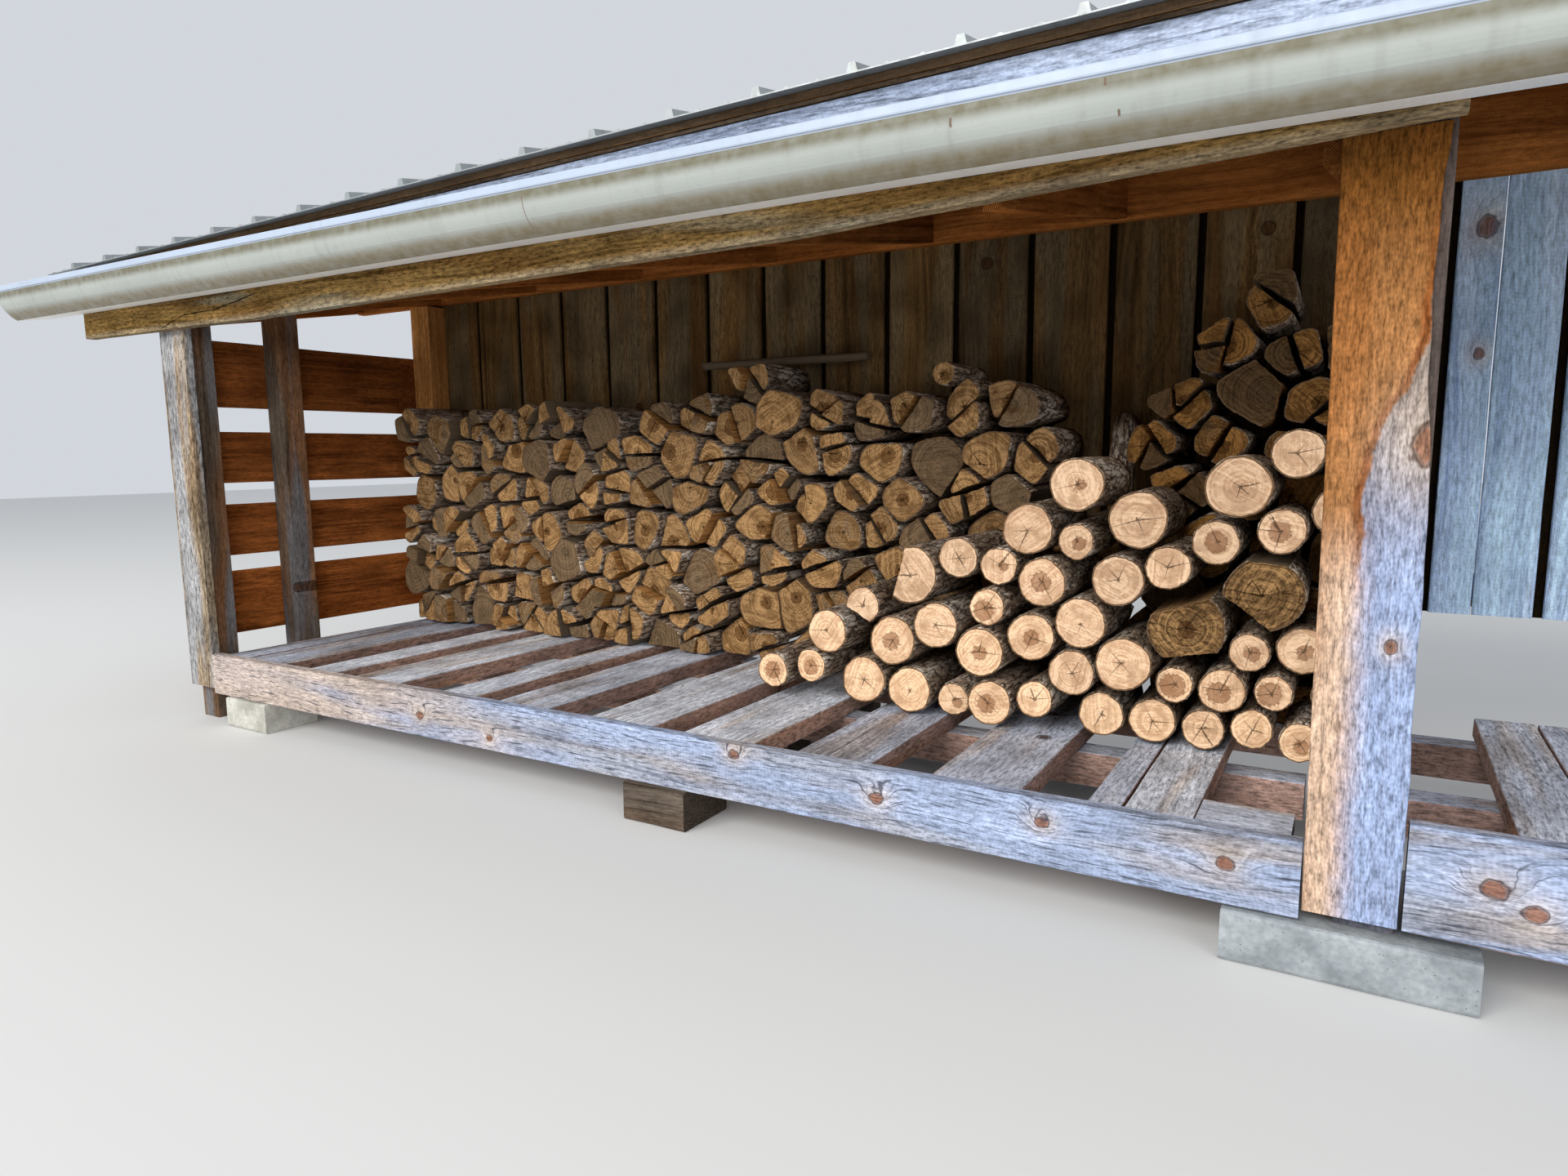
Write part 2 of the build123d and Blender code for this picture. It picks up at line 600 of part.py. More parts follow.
with BuildPart() as firewood_round_logs:
    for front, back in pile_ends:
        with BuildSketch(Plane.XZ.offset(-y_of(front))):
            for x, z, radius, log_front, log_back, *cuts in round_logs:
                if (log_front, log_back) == (front, back) and not cuts:
                    with Locations((x, z)):
                        Circle(radius)
                elif (log_front, log_back) == (front, back):
                    with BuildLine():
                        Polyline(*[(x + dx, z + dz) for dx, dz in tidy(log_outline(radius, cuts), 3.0)], close=True)
                    make_face()
        extrude(amount=-(back - front))

back_pieces = stacked(back_stack, 14)
stick_z = highest_in(back_pieces, stick[0] - 20, stick[1] + 20) + stick[2] + 2.0
top_log_z = highest_in(back_pieces, top_log[0] - 35, top_log[0] + 35) + top_log[1] + 2.0
foot_z = highest_in(back_pieces, -705.0, -590.0) + leaning_log[5] + 26.0

with BuildPart() as firewood_back_stack:
    for front in sorted({piece[2] for piece in back_pieces}):
        with BuildSketch(Plane.XZ.offset(-y_of(front))):
            for outline, pith, depth, back, splits in back_pieces:
                if depth == front:
                    with BuildLine():
                        Polyline(*tidy(outline, 5.0), close=True)
                    make_face()
        extrude(amount=-(back_stack[7] - front))
    with BuildSketch(Plane.YZ.offset(stick[0])):
        with Locations((y_of(stick[3]), stick_z)):
            Circle(stick[2])
    extrude(amount=stick[1] - stick[0])
    with BuildSketch(Plane.XZ.offset(-y_of(top_log[2]))):
        with Locations((top_log[0], top_log_z)):
            Circle(top_log[1])
    extrude(amount=-(top_log[3] - top_log[2]))
    lean = Vector(leaning_log[2] - leaning_log[0], leaning_log[3] - leaning_log[1], leaning_log[4])
    with BuildSketch(Plane(origin=(leaning_log[0], y_of(leaning_log[1]), foot_z), z_dir=lean.normalized())):
        Circle(leaning_log[5])
    extrude(amount=lean.length)

tall_pieces = stacked(tall_stack, 14)

with BuildPart() as firewood_tall_stack:
    for front in sorted({piece[2] for piece in tall_pieces}):
        with BuildSketch(Plane.XZ.offset(-y_of(front))):
            for outline, pith, depth, back, splits in tall_pieces:
                if depth == front:
                    with BuildLine():
                        Polyline(*tidy(outline, 5.0), close=True)
                    make_face()
        extrude(amount=-(tall_stack[7] - front))

# ================================================================ files
nodes = {
    "front_post_board_left": front_post_board_left,
    "front_post_board_right": front_post_board_right,
    "centre_post_board": centre_post_board,
    "centre_post": centre_post,
    "corner_post_front_left": corner_post_front_left,
    "corner_post_front_right": corner_post_front_right,
    "middle_post_left": middle_post_left,
    "middle_post_right": middle_post_right,
    "corner_post_back_left": corner_post_back_left,
    "corner_post_back_right": corner_post_back_right,
    **end_boards,
    "rim_board_left": rim_board_left,
    "rim_board_right": rim_board_right,
    "sleepers_left": sleepers_left,
    "sleepers_right": sleepers_right,
    "deck_slats_left": deck_slats_left,
    "deck_slats_right": deck_slats_right,
    "centre_slab": centre_slab,
    "timber_blocks": timber_blocks,
    "pale_blocks": pale_blocks,
    "back_boards_left": back_boards_left,
    "back_boards_right": back_boards_right,
    "back_battens": back_battens,
    "back_rails": back_rails,
    "ledger": ledger,
    "rafters": rafters,
    "front_beam_left": front_beam_left,
    "front_beam_right": front_beam_right,
    "roof_boards_left": roof_boards_left,
    "roof_boards_right": roof_boards_right,
    "roof_sheet_left": roof_sheet_left,
    "roof_sheet_right": roof_sheet_right,
    "gutter_left": gutter_left,
    "gutter_right": gutter_right,
    "firewood_round_logs": firewood_round_logs,
    "firewood_back_stack": firewood_back_stack,
    "firewood_tall_stack": firewood_tall_stack,
}
for name, built in nodes.items():
    built.part.label = name
    export_step(built.part, f"parts/{name}.step")
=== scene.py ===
import math
from math import cos, hypot, pi, sin
from random import Random

import bpy
import numpy as np
from mathutils import Matrix, Vector


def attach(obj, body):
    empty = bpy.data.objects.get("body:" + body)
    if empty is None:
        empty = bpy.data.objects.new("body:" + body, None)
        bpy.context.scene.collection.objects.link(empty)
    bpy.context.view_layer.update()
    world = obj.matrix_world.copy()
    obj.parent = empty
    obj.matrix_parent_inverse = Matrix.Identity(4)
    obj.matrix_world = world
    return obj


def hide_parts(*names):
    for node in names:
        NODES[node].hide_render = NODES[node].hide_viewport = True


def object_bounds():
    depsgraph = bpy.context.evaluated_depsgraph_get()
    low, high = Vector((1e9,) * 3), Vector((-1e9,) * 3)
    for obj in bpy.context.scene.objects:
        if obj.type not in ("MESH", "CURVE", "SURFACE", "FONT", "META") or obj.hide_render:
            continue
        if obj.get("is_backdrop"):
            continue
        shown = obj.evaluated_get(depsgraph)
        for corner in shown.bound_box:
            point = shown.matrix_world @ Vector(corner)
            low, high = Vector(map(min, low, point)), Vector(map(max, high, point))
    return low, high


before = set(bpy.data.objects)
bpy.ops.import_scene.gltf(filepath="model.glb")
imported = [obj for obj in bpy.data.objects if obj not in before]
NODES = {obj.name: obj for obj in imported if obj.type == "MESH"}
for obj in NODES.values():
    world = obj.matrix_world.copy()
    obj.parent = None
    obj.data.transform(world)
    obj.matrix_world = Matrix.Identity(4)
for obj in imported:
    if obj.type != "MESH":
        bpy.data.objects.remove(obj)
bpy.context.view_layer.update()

# Everything below is in metres in the frame of the part: X along the front,
# Y from the open front to the back, Z up. Depths are measured from the front
# face of the posts.
FRONT = -0.5407
MM = 0.001


def Y(depth_mm):
    return FRONT + depth_mm * MM


# ------------------------------------------------------------ node helpers
class Tree:
    """A short way to write shader nodes."""

    def __init__(self, name):
        self.mat = bpy.data.materials.new(name)
        self.mat.use_nodes = True
        self.t = self.mat.node_tree
        for n in list(self.t.nodes):
            self.t.nodes.remove(n)
        self.out = self.t.nodes.new("ShaderNodeOutputMaterial")
        self.bsdf = self.t.nodes.new("ShaderNodeBsdfPrincipled")
        self.t.links.new(self.bsdf.outputs["BSDF"], self.out.inputs["Surface"])

    def put(self, socket, value):
        if hasattr(value, "is_linked") or hasattr(value, "links"):
            self.t.links.new(value, socket)
        else:
            socket.default_value = value

    def attr(self, name, out="Vector"):
        n = self.t.nodes.new("ShaderNodeAttribute")
        n.attribute_type = "GEOMETRY"
        n.attribute_name = name
        return n.outputs[out]

    def math(self, op, a, b=0.0, c=0.0, clamp=False):
        n = self.t.nodes.new("ShaderNodeMath")
        n.operation = op
        n.use_clamp = clamp
        self.put(n.inputs[0], a)
        self.put(n.inputs[1], b)
        self.put(n.inputs[2], c)
        return n.outputs[0]

    def vmath(self, op, a, b=(0, 0, 0), scale=1.0):
        n = self.t.nodes.new("ShaderNodeVectorMath")
        n.operation = op
        self.put(n.inputs[0], a)
        self.put(n.inputs[1], b)
        if op == "SCALE":
            self.put(n.inputs["Scale"], scale)
        return n.outputs["Value"] if op in ("LENGTH", "DOT_PRODUCT", "DISTANCE") else n.outputs["Vector"]

    def split(self, v):
        n = self.t.nodes.new("ShaderNodeSeparateXYZ")
        self.put(n.inputs[0], v)
        return n.outputs[0], n.outputs[1], n.outputs[2]

    def join(self, x, y, z):
        n = self.t.nodes.new("ShaderNodeCombineXYZ")
        self.put(n.inputs[0], x)
        self.put(n.inputs[1], y)
        self.put(n.inputs[2], z)
        return n.outputs[0]

    def noise(self, v, scale, detail=4.0, rough=0.55, distortion=0.0, colour=False):
        n = self.t.nodes.new("ShaderNodeTexNoise")
        self.put(n.inputs["Vector"], v)
        n.inputs["Scale"].default_value = scale
        n.inputs["Detail"].default_value = detail
        n.inputs["Roughness"].default_value = rough
        n.inputs["Distortion"].default_value = distortion
        return n.outputs["Color" if colour else "Fac"]

    def voronoi(self, v, scale, feature="F1", randomness=1.0, dims="3D"):
        n = self.t.nodes.new("ShaderNodeTexVoronoi")
        n.voronoi_dimensions = dims
        n.feature = feature
        self.put(n.inputs["Vector"], v)
        n.inputs["Scale"].default_value = scale
        n.inputs["Randomness"].default_value = randomness
        return n

    def ramp(self, fac, stops, mode="LINEAR"):
        n = self.t.nodes.new("ShaderNodeValToRGB")
        n.color_ramp.interpolation = mode
        e = n.color_ramp.elements
        e.remove(e[1])
        e[0].position = stops[0][0]
        e[0].color = (*stops[0][1], 1.0)
        for p, c in stops[1:]:
            e.new(p).color = (*c, 1.0)
        self.put(n.inputs[0], fac)
        return n.outputs["Color"]

    def fit(self, v, a, b, lo=0.0, hi=1.0, smooth=False):
        n = self.t.nodes.new("ShaderNodeMapRange")
        n.interpolation_type = "SMOOTHSTEP" if smooth else "LINEAR"
        n.clamp = True
        self.put(n.inputs["Value"], v)
        n.inputs["From Min"].default_value = a
        n.inputs["From Max"].default_value = b
        n.inputs["To Min"].default_value = lo
        n.inputs["To Max"].default_value = hi
        return n.outputs["Result"]

    def mix(self, fac, a, b, mode="MIX"):
        n = self.t.nodes.new("ShaderNodeMix")
        n.data_type = "RGBA"
        n.blend_type = mode
        n.clamp_factor = True
        self.put(n.inputs[0], fac)
        self.put(n.inputs[6], (*a, 1.0) if isinstance(a, tuple) and len(a) == 3 else a)
        self.put(n.inputs[7], (*b, 1.0) if isinstance(b, tuple) and len(b) == 3 else b)
        return n.outputs[2]

    def bump(self, height, strength, distance, normal=None):
        n = self.t.nodes.new("ShaderNodeBump")
        n.inputs["Strength"].default_value = strength
        n.inputs["Distance"].default_value = distance
        self.put(n.inputs["Height"], height)
        if normal is not None:
            self.put(n.inputs["Normal"], normal)
        return n.outputs["Normal"]

    def done(self, colour, rough, normal=None, metallic=0.0, specular=0.5):
        self.put(self.bsdf.inputs["Base Color"], colour if not isinstance(colour, tuple) else (*colour, 1.0))
        self.put(self.bsdf.inputs["Roughness"], rough)
        self.bsdf.inputs["Metallic"].default_value = metallic
        self.bsdf.inputs["Specular IOR Level"].default_value = specular
        if normal is not None:
            self.t.links.new(normal, self.bsdf.inputs["Normal"])
        return self.mat


def srgb(r, g, b):
    """A colour seen by eye, 0 to 255, as linear light."""
    def lin(c):
        c /= 255.0
        return c / 12.92 if c <= 0.04045 else ((c + 0.055) / 1.055) ** 2.4
    return (lin(r), lin(g), lin(b))


def wood(name, light, dark, stain=None, grey=None, grey_amount=0.0, knots=0.10, knot_colour=(60, 38, 22), fine=1.0, contrast=1.0, spots=(),
         stain_amount=0.4, rough=0.85, bump=0.7, dirt=0.25, speck=0.5, saw=0.035, streak=0.0, sides=None, over=None):
    """Rough-sawn wood. The mesh attribute gr holds metres along, across and
    through each board; ends marks its cut ends; tone is one number for each."""
    w = Tree(name)
    p = w.attr("gr")
    tone = w.attr("tone", "Fac")
    ends = w.attr("ends", "Fac")
    x, y, z = w.split(p)
    core = rim = near = 0.0
    if knots > 0:
        # cells in the face of the board, a few of which hold a knot
        vor = w.voronoi(w.join(x, y, 0.0), 4.2, dims="2D")
        dist = vor.outputs["Distance"]
        has = w.math("LESS_THAN", w.split(vor.outputs["Color"])[0], knots)
        near = w.math("MULTIPLY", w.math("EXPONENT", w.math("MULTIPLY", w.math("POWER", dist, 2.0), -38.0)), has)
        core = w.math("MULTIPLY", w.fit(dist, 0.085, 0.045, smooth=True), has)
        rim = w.math("MULTIPLY", w.fit(w.math("ABSOLUTE", w.math("SUBTRACT", dist, 0.075)), 0.022, 0.0, smooth=True), has)
    if spots:
        wob = w.math("SUBTRACT", w.noise(p, 60.0, 0.0), 0.5)
    for (kx, ky, kr) in spots:
        dx = w.math("MULTIPLY", w.math("SUBTRACT", x, kx), 0.8)
        dy = w.math("SUBTRACT", y, ky)
        d = w.math("ADD", w.math("SQRT", w.math("ADD", w.math("POWER", dx, 2.0), w.math("POWER", dy, 2.0))), w.math("MULTIPLY", wob, kr * 0.5))
        core = w.math("MAXIMUM", core, w.fit(d, kr, kr * 0.75, smooth=True))
        rim = w.math("MAXIMUM", rim, w.fit(w.math("ABSOLUTE", w.math("SUBTRACT", d, kr)), kr * 0.26, 0.0, smooth=True))
        near = w.math("MAXIMUM", near, w.math("EXPONENT", w.math("MULTIPLY", w.math("POWER", w.math("DIVIDE", d, kr), 2.0), -0.16)))
    # growth lines, pushed aside round the knots
    wavy = w.math("MULTIPLY", w.math("SUBTRACT", w.noise(w.join(w.math("MULTIPLY", x, 1.6), w.math("MULTIPLY", y, 5.0), w.math("MULTIPLY", z, 5.0)), 1.0, 0.0), 0.5), 0.08)
    yy = w.math("ADD", w.math("ADD", y, wavy), w.math("MULTIPLY", near, 0.05))
    g1 = w.noise(w.join(w.math("MULTIPLY", x, 1.8), w.math("MULTIPLY", yy, 78.0 * fine), w.math("MULTIPLY", z, 78.0 * fine)), 1.0, 3.0, 0.68)
    g2 = w.noise(w.join(w.math("MULTIPLY", x, 0.7), w.math("MULTIPLY", yy, 20.0 * fine), w.math("MULTIPLY", z, 20.0 * fine)), 1.0, 1.0, 0.5)
    grain = w.math("ADD", w.math("MULTIPLY", g1, 0.62), w.math("MULTIPLY", g2, 0.38))
    # short torn fibres left by the saw, and its marks across the board
    torn = w.noise(w.join(w.math("MULTIPLY", x, 34.0), w.math("MULTIPLY", y, 125.0), w.math("MULTIPLY", z, 125.0)), 1.0, 2.0, 0.85)
    patch = w.noise(w.join(w.math("MULTIPLY", x, 1.5), w.math("MULTIPLY", y, 8.0), w.math("MULTIPLY", z, 8.0)), 1.0, 1.0, 0.62)
    marks = w.math("SINE", w.math("ADD", w.math("MULTIPLY", x, 620.0), w.math("ADD", w.math("MULTIPLY", g2, 20.0), w.math("MULTIPLY", patch, 60.0))))
    half = 0.15 / contrast
    base = w.ramp(grain, [(0.5 - half, dark), (0.5 - half * 0.1, tuple((a * 0.45 + b * 0.55) for a, b in zip(dark, light))), (0.5 + half, light)])
    if stain is not None:
        base = w.mix(w.math("MULTIPLY", w.fit(patch, 0.44, 0.62, smooth=True), stain_amount), base, w.mix(grain, tuple(c * 0.55 for c in stain), tuple(min(1, c * 1.3) for c in stain)))
    if grey is not None:
        s = w.noise(w.join(w.math("MULTIPLY", x, 1.1), w.math("MULTIPLY", y, 10.0), w.math("MULTIPLY", z, 10.0)), 1.0, 1.0, 0.65)
        lim = 0.5 + (0.5 - grey_amount) * 0.5
        silver = w.mix(w.fit(grain, 0.3, 0.7), tuple(c * 0.62 for c in grey), tuple(min(1, c * 1.2) for c in grey))
        base = w.mix(w.fit(s, lim - 0.08, lim + 0.08, smooth=True), base, silver)
    if sides is not None:
        # the narrow sides of flat-laid boards, less bleached than their tops
        geo = w.t.nodes.new("ShaderNodeNewGeometry")
        up = w.math("ABSOLUTE", w.split(geo.outputs["True Normal"])[2])
        base = w.mix(w.math("MULTIPLY", w.fit(up, 0.6, 0.3), 0.75), base, w.mix(grain, tuple(c * 0.55 for c in sides), tuple(min(1, c * 1.3) for c in sides)))
    if over is not None:
        base = over(w, base, x, y, z, grain, patch)
    kc = srgb(*knot_colour)
    if spots:
        base = w.mix(w.math("MULTIPLY", near, 0.5), base, tinted(w, grain, (222, 200, 176)))
    if knots > 0 or spots:
        base = w.mix(w.math("MULTIPLY", core, 0.85), base, w.mix(torn, kc, tuple(min(1, c * 2.3) for c in kc)))
        base = w.mix(w.math("MULTIPLY", rim, 0.8), base, tuple(c * 0.45 for c in kc))
    if streak > 0:
        fine_lines = w.noise(w.join(w.math("MULTIPLY", x, 9.0), w.math("MULTIPLY", yy, 165.0), w.math("MULTIPLY", z, 165.0)), 1.0, 1.0, 0.7)
        base = w.mix(w.math("MULTIPLY", w.fit(fine_lines, 0.56, 0.70, smooth=True), streak), base, tuple(c * 0.5 for c in dark))
    # hairline checks along the grain
    check = w.fit(g1, 0.31, 0.25, smooth=True)
    base = w.mix(w.math("MULTIPLY", check, 0.65), base, tuple(c * 0.25 for c in dark))
    # grime in cloudy patches
    d1 = w.noise(p, 7.0, 0.0, 0.65)
    base = w.mix(w.math("MULTIPLY", w.fit(w.math("ADD", w.math("MULTIPLY", d1, 0.6), w.math("MULTIPLY", torn, 0.4)), 0.44, 0.66, smooth=True), dirt), base, tuple(c * 0.35 for c in dark))
    # cut ends: rings
    r = w.math("SQRT", w.math("ADD", w.math("POWER", w.math("ADD", y, 0.11), 2.0), w.math("POWER", w.math("ADD", z, 0.06), 2.0)))
    ring = w.math("SINE", w.math("ADD", w.math("MULTIPLY", r, 1500.0), w.math("MULTIPLY", g2, 20.0)))
    endc = w.mix(w.fit(ring, -1.0, 1.0), tuple(c * 0.45 for c in dark), tuple((a + b) * 0.42 for a, b in zip(dark, light)))
    base = w.mix(ends, base, endc)
    # one shade for each board, then the torn fibres and saw marks
    base = w.mix(1.0, base, w.ramp(tone, [(0.0, (0.72, 0.72, 0.74)), (0.5, (1.0, 1.0, 1.0)), (1.0, (1.22, 1.18, 1.10))]), "MULTIPLY")
    shade = w.math("MULTIPLY", w.fit(torn, 0.32, 0.68, 1.0 - 0.75 * speck, 1.0 + 0.50 * speck), w.fit(marks, -1.0, 1.0, 1.0 - saw, 1.0 + saw))
    base = w.mix(1.0, base, shade, "MULTIPLY")
    n = w.bump(torn, bump, 0.0025)
    return w.done(base, w.fit(torn, 0.3, 0.7, rough - 0.06, min(1.0, rough + 0.10)), n, specular=0.0)


def tinted(w, grain, rgb, low=0.74, high=1.16):
    """One colour, varied along the grain."""
    return w.mix(w.fit(grain, 0.33, 0.67), tuple(c * low for c in srgb(*rgb)), tuple(min(1.0, c * high) for c in srgb(*rgb)))


def line_at(w, x, table, length, height):
    """Height of a line drawn over the length of a board, both in metres."""
    stops = [(a / length, (b / height,) * 3) for a, b in table]
    return w.math("MULTIPLY", w.split(w.ramp(w.math("DIVIDE", x, length), stops))[0], height)


def bleached(w, base, x, y, z, grain, patch):
    """The wide board: orange where the roof shelters it, darker at its top with painted shade under the gutter as well
    as less weathering, bleached along its right edge and further down, with a dark orange line between the two."""
    edge = line_at(w, x, ((0.195, 0.054), (0.351, 0.060), (0.503, 0.058), (0.651, 0.064), (0.796, 0.062), (0.853, 0.072), (0.930, 0.092),
                          (0.977, 0.119), (1.043, 0.144), (1.135, 0.147), (1.395, 0.163)), 1.4, 0.2)
    d = w.math("ADD", w.math("SUBTRACT", y, edge), w.math("MULTIPLY", w.math("SUBTRACT", w.noise(w.join(w.math("MULTIPLY", x, 16.0), w.math("MULTIPLY", y, 16.0), 0.0), 1.0, 3.0, 0.6), 0.5), 0.030))
    high = w.fit(x, 0.58, 0.80, smooth=True)
    sharp, soft = w.fit(d, -0.003, 0.004, smooth=True), w.fit(d, -0.03, 0.04, smooth=True)
    t = w.math("ADD", soft, w.math("MULTIPLY", w.math("SUBTRACT", sharp, soft), high))
    # darker towards the top: painted shade under the gutter, and less weathering
    upper = w.mix(w.fit(x, 1.02, 1.34, smooth=True), tinted(w, grain, (164, 114, 70)), tinted(w, grain, (104, 66, 28)))
    upper = w.mix(w.math("MULTIPLY", w.fit(patch, 0.42, 0.66, smooth=True), 0.6), upper, tinted(w, grain, (132, 78, 34)))
    lower = w.mix(w.fit(patch, 0.40, 0.62), tinted(w, grain, (208, 178, 154)), tinted(w, grain, (176, 132, 98)))
    left = w.mix(high, lower, upper)
    right = w.mix(w.fit(x, 1.05, 0.55, smooth=True), tinted(w, grain, (144, 130, 120)), tinted(w, grain, (152, 168, 202)))
    rim = w.math("MULTIPLY", w.math("MULTIPLY", w.fit(w.math("ABSOLUTE", w.math("ADD", d, 0.006)), 0.012, 0.001, smooth=True), high), w.fit(x, 1.30, 1.10))
    base = w.mix(t, left, right)
    return w.mix(w.math("MULTIPLY", rim, 0.75), base, srgb(116, 58, 22))


def tan_end(w, base, x, y, z, grain, patch):
    """The left rim: beige at its left end, silver further on."""
    t = w.fit(w.math("ADD", x, w.math("MULTIPLY", w.math("SUBTRACT", patch, 0.5), 3.0)), 1.9, 0.4, smooth=True)
    return w.mix(w.math("MULTIPLY", t, 0.8), base, tinted(w, grain, (200, 180, 164)))


def cracked(w, base, x, y, z, grain, patch):
    """The lower board of the beam: a long crack near its left end, and a paler
    line along its lower edge."""
    line = line_at(w, x, ((0.535, 0.0), (0.705, 0.043), (0.910, 0.047), (1.130, 0.077)), 1.5, 0.1)
    d = w.math("ABSOLUTE", w.math("ADD", w.math("SUBTRACT", y, line), w.math("MULTIPLY", w.math("SUBTRACT", grain, 0.5), 0.020)))
    here = w.math("MULTIPLY", w.fit(x, 0.53, 0.56), w.fit(x, 1.16, 1.12))
    base = w.mix(w.math("MULTIPLY", w.fit(y, 0.024, 0.004, smooth=True), 0.45), base, tinted(w, grain, (168, 160, 140)))
    return w.mix(w.math("MULTIPLY", w.fit(d, 0.0026, 0.0008, smooth=True), here), base, srgb(24, 16, 10))


def facing(w):
    """How far a face looks to the back, -1 to 1."""
    geo = w.t.nodes.new("ShaderNodeNewGeometry")
    return w.split(geo.outputs["True Normal"])[1]


def gap_shade(w, base, x, y, z, grain, patch):
    """The strips behind the joints: near-black where they face the store, painted shade in the gaps between the boards.
    """
    return w.mix(w.fit(facing(w), -0.4, -0.7), base, tinted(w, grain, (30, 23, 16)))


def sheltered_back(w, base, x, y, z, grain, patch):
    """Boards pale on the open side only: bleached, and painted bright and blue with sky light."""
    return w.mix(w.fit(facing(w), 0.2, 0.6), base, tinted(w, grain, (116, 100, 76)))


# ------------------------------------------------------------ mesh helpers
class Mesh:
    """Collects faces and their attributes and makes one object."""

    def __init__(self, name):
        self.name = name
        self.v, self.f, self.m = [], [], []
        self.gr, self.tone, self.ends, self.smooth = [], [], [], []

    def add(self, verts, faces, gr, tone, ends, mat=0, smooth=False):
        base = sum(len(a) for a in self.v)
        self.v.append(np.asarray(verts, float))
        for k, face in enumerate(faces):
            self.f.append([base + i for i in face])
            self.m.append(mat[k] if isinstance(mat, (list, tuple)) else mat)
            self.smooth.append(smooth[k] if isinstance(smooth, (list, tuple)) else smooth)
        self.gr.append(np.asarray(gr, float))
        self.tone.append(np.full(len(verts), tone, float))
        self.ends.append(np.asarray(ends, float) if np.ndim(ends) else np.full(len(verts), ends, float))

    def build(self, materials, node, slot_name):
        v = np.vstack(self.v)
        me = bpy.data.meshes.new(self.name)
        me.from_pydata(v.tolist(), [], self.f)
        for m in materials:
            me.materials.append(m)
        me.polygons.foreach_set("material_index", self.m)
        me.polygons.foreach_set("use_smooth", [bool(s) for s in self.smooth])
        a = me.attributes.new("gr", "FLOAT_VECTOR", "POINT")
        a.data.foreach_set("vector", np.vstack(self.gr).ravel())
        a = me.attributes.new("tone", "FLOAT", "POINT")
        a.data.foreach_set("value", np.concatenate(self.tone))
        a = me.attributes.new("ends", "FLOAT", "POINT")
        a.data.foreach_set("value", np.concatenate(self.ends))
        me.validate()
        me.update()
        o = bpy.data.objects.new(self.name, me)
        bpy.context.scene.collection.objects.link(o)
        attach(o, "root")
        if node:
            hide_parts(*([node] if isinstance(node, str) else node))
        return o


def beam(mesh, stations, rng, tone=None, arris=0.0025, mat=0, wobble=0.0008, offset=None, across=None, keep_ends=True):
    """A board through stations, each four corners in order round it. Its arrises
    are eased, and its sides waver by a hair, always inwards."""
    if tone is None:
        tone = rng.random()
    if offset is None:
        offset = (rng.random() * 40.0, rng.random() * 40.0, rng.random() * 40.0)
    S = np.asarray(stations, float)
    n = len(S)
    verts, gr, ends = [], [], []
    mids = S.mean(axis=1)
    run = np.concatenate([[0.0], np.cumsum(np.linalg.norm(np.diff(mids, axis=0), axis=1))])
    phase = [rng.random() * 6.28 for _ in range(8)]
    per = 12
    for k in range(n):
        c = S[k]
        w1 = np.linalg.norm(c[1] - c[0])
        w2 = np.linalg.norm(c[3] - c[0])
        pts, local = [], []
        uv = [(0.0, 0.0), (w1, 0.0), (w1, w2), (0.0, w2)]
        for i in range(4):
            prev, here, nxt = c[i - 1], c[i], c[(i + 1) % 4]
            a = prev - here
            b = nxt - here
            la, lb = np.linalg.norm(a), np.linalg.norm(b)
            a, b = a / la, b / lb
            e = min(arris, la * 0.3, lb * 0.3)
            wob = wobble * (0.5 + 0.5 * math.sin(run[k] * (5.0 + 2.3 * i) + phase[i])) + wobble * (0.5 + 0.5 * math.sin(run[k] * (19.0 + 3.1 * i) + phase[4 + i]))
            inward = (a + b) * wob * 0.6
            ua = np.array(uv[i - 1]) - np.array(uv[i])
            ub = np.array(uv[(i + 1) % 4]) - np.array(uv[i])
            ua, ub = ua / max(np.linalg.norm(ua), 1e-9), ub / max(np.linalg.norm(ub), 1e-9)
            for q, (fa, fb) in enumerate(((1.0, 0.0), (0.29, 0.29), (0.0, 1.0))):
                pts.append(here + a * e * fa + b * e * fb + inward)
                local.append(np.array(uv[i]) + ua * e * fa + ub * e * fb)
        for pnt, (u, t) in zip(pts, local):
            verts.append(pnt)
            gr.append((run[k] + offset[0], u + offset[1], t + offset[2]))
            ends.append(0.0)
    faces, mats, smooth = [], [], []
    for k in range(n - 1):
        for i in range(per):
            j = (i + 1) % per
            faces.append([k * per + i, k * per + j, (k + 1) * per + j, (k + 1) * per + i])
            mats.append(mat)
            smooth.append(False)
    # cut ends have corners of their own, so that they can be marked
    for k, flip in ((0, True), (n - 1, False)):
        start = len(verts)
        for i in range(per):
            verts.append(verts[k * per + i])
            gr.append(gr[k * per + i])
            ends.append(1.0)
        loop = [start + i for i in range(per)]
        faces.append(loop[::-1] if flip else loop)
        mats.append(mat)
        smooth.append(False)
    # faces must point outwards whichever way the corners were given
    q = faces[0]
    a, b, c = (np.array(verts[q[0]]), np.array(verts[q[1]]), np.array(verts[q[2]]))
    normal = np.cross(b - a, c - a)
    if np.dot(normal, a - mids[0]) < 0:
        faces = [f[::-1] for f in faces]
    mesh.add(verts, faces, gr, tone, ends, mats, smooth)


def stations_x(x0, x1, y0, y1, z0, z1, step=0.12):
    n = max(2, int(abs(x1 - x0) / step) + 1)
    return [[(x, y0, z0), (x, y0, z1), (x, y1, z1), (x, y1, z0)] for x in np.linspace(x0, x1, n)]


def stations_y(x0, x1, y0, y1, z0, z1, step=0.12):
    n = max(2, int(abs(y1 - y0) / step) + 1)
    return [[(x0, y, z1), (x1, y, z1), (x1, y, z0), (x0, y, z0)] for y in np.linspace(y0, y1, n)]


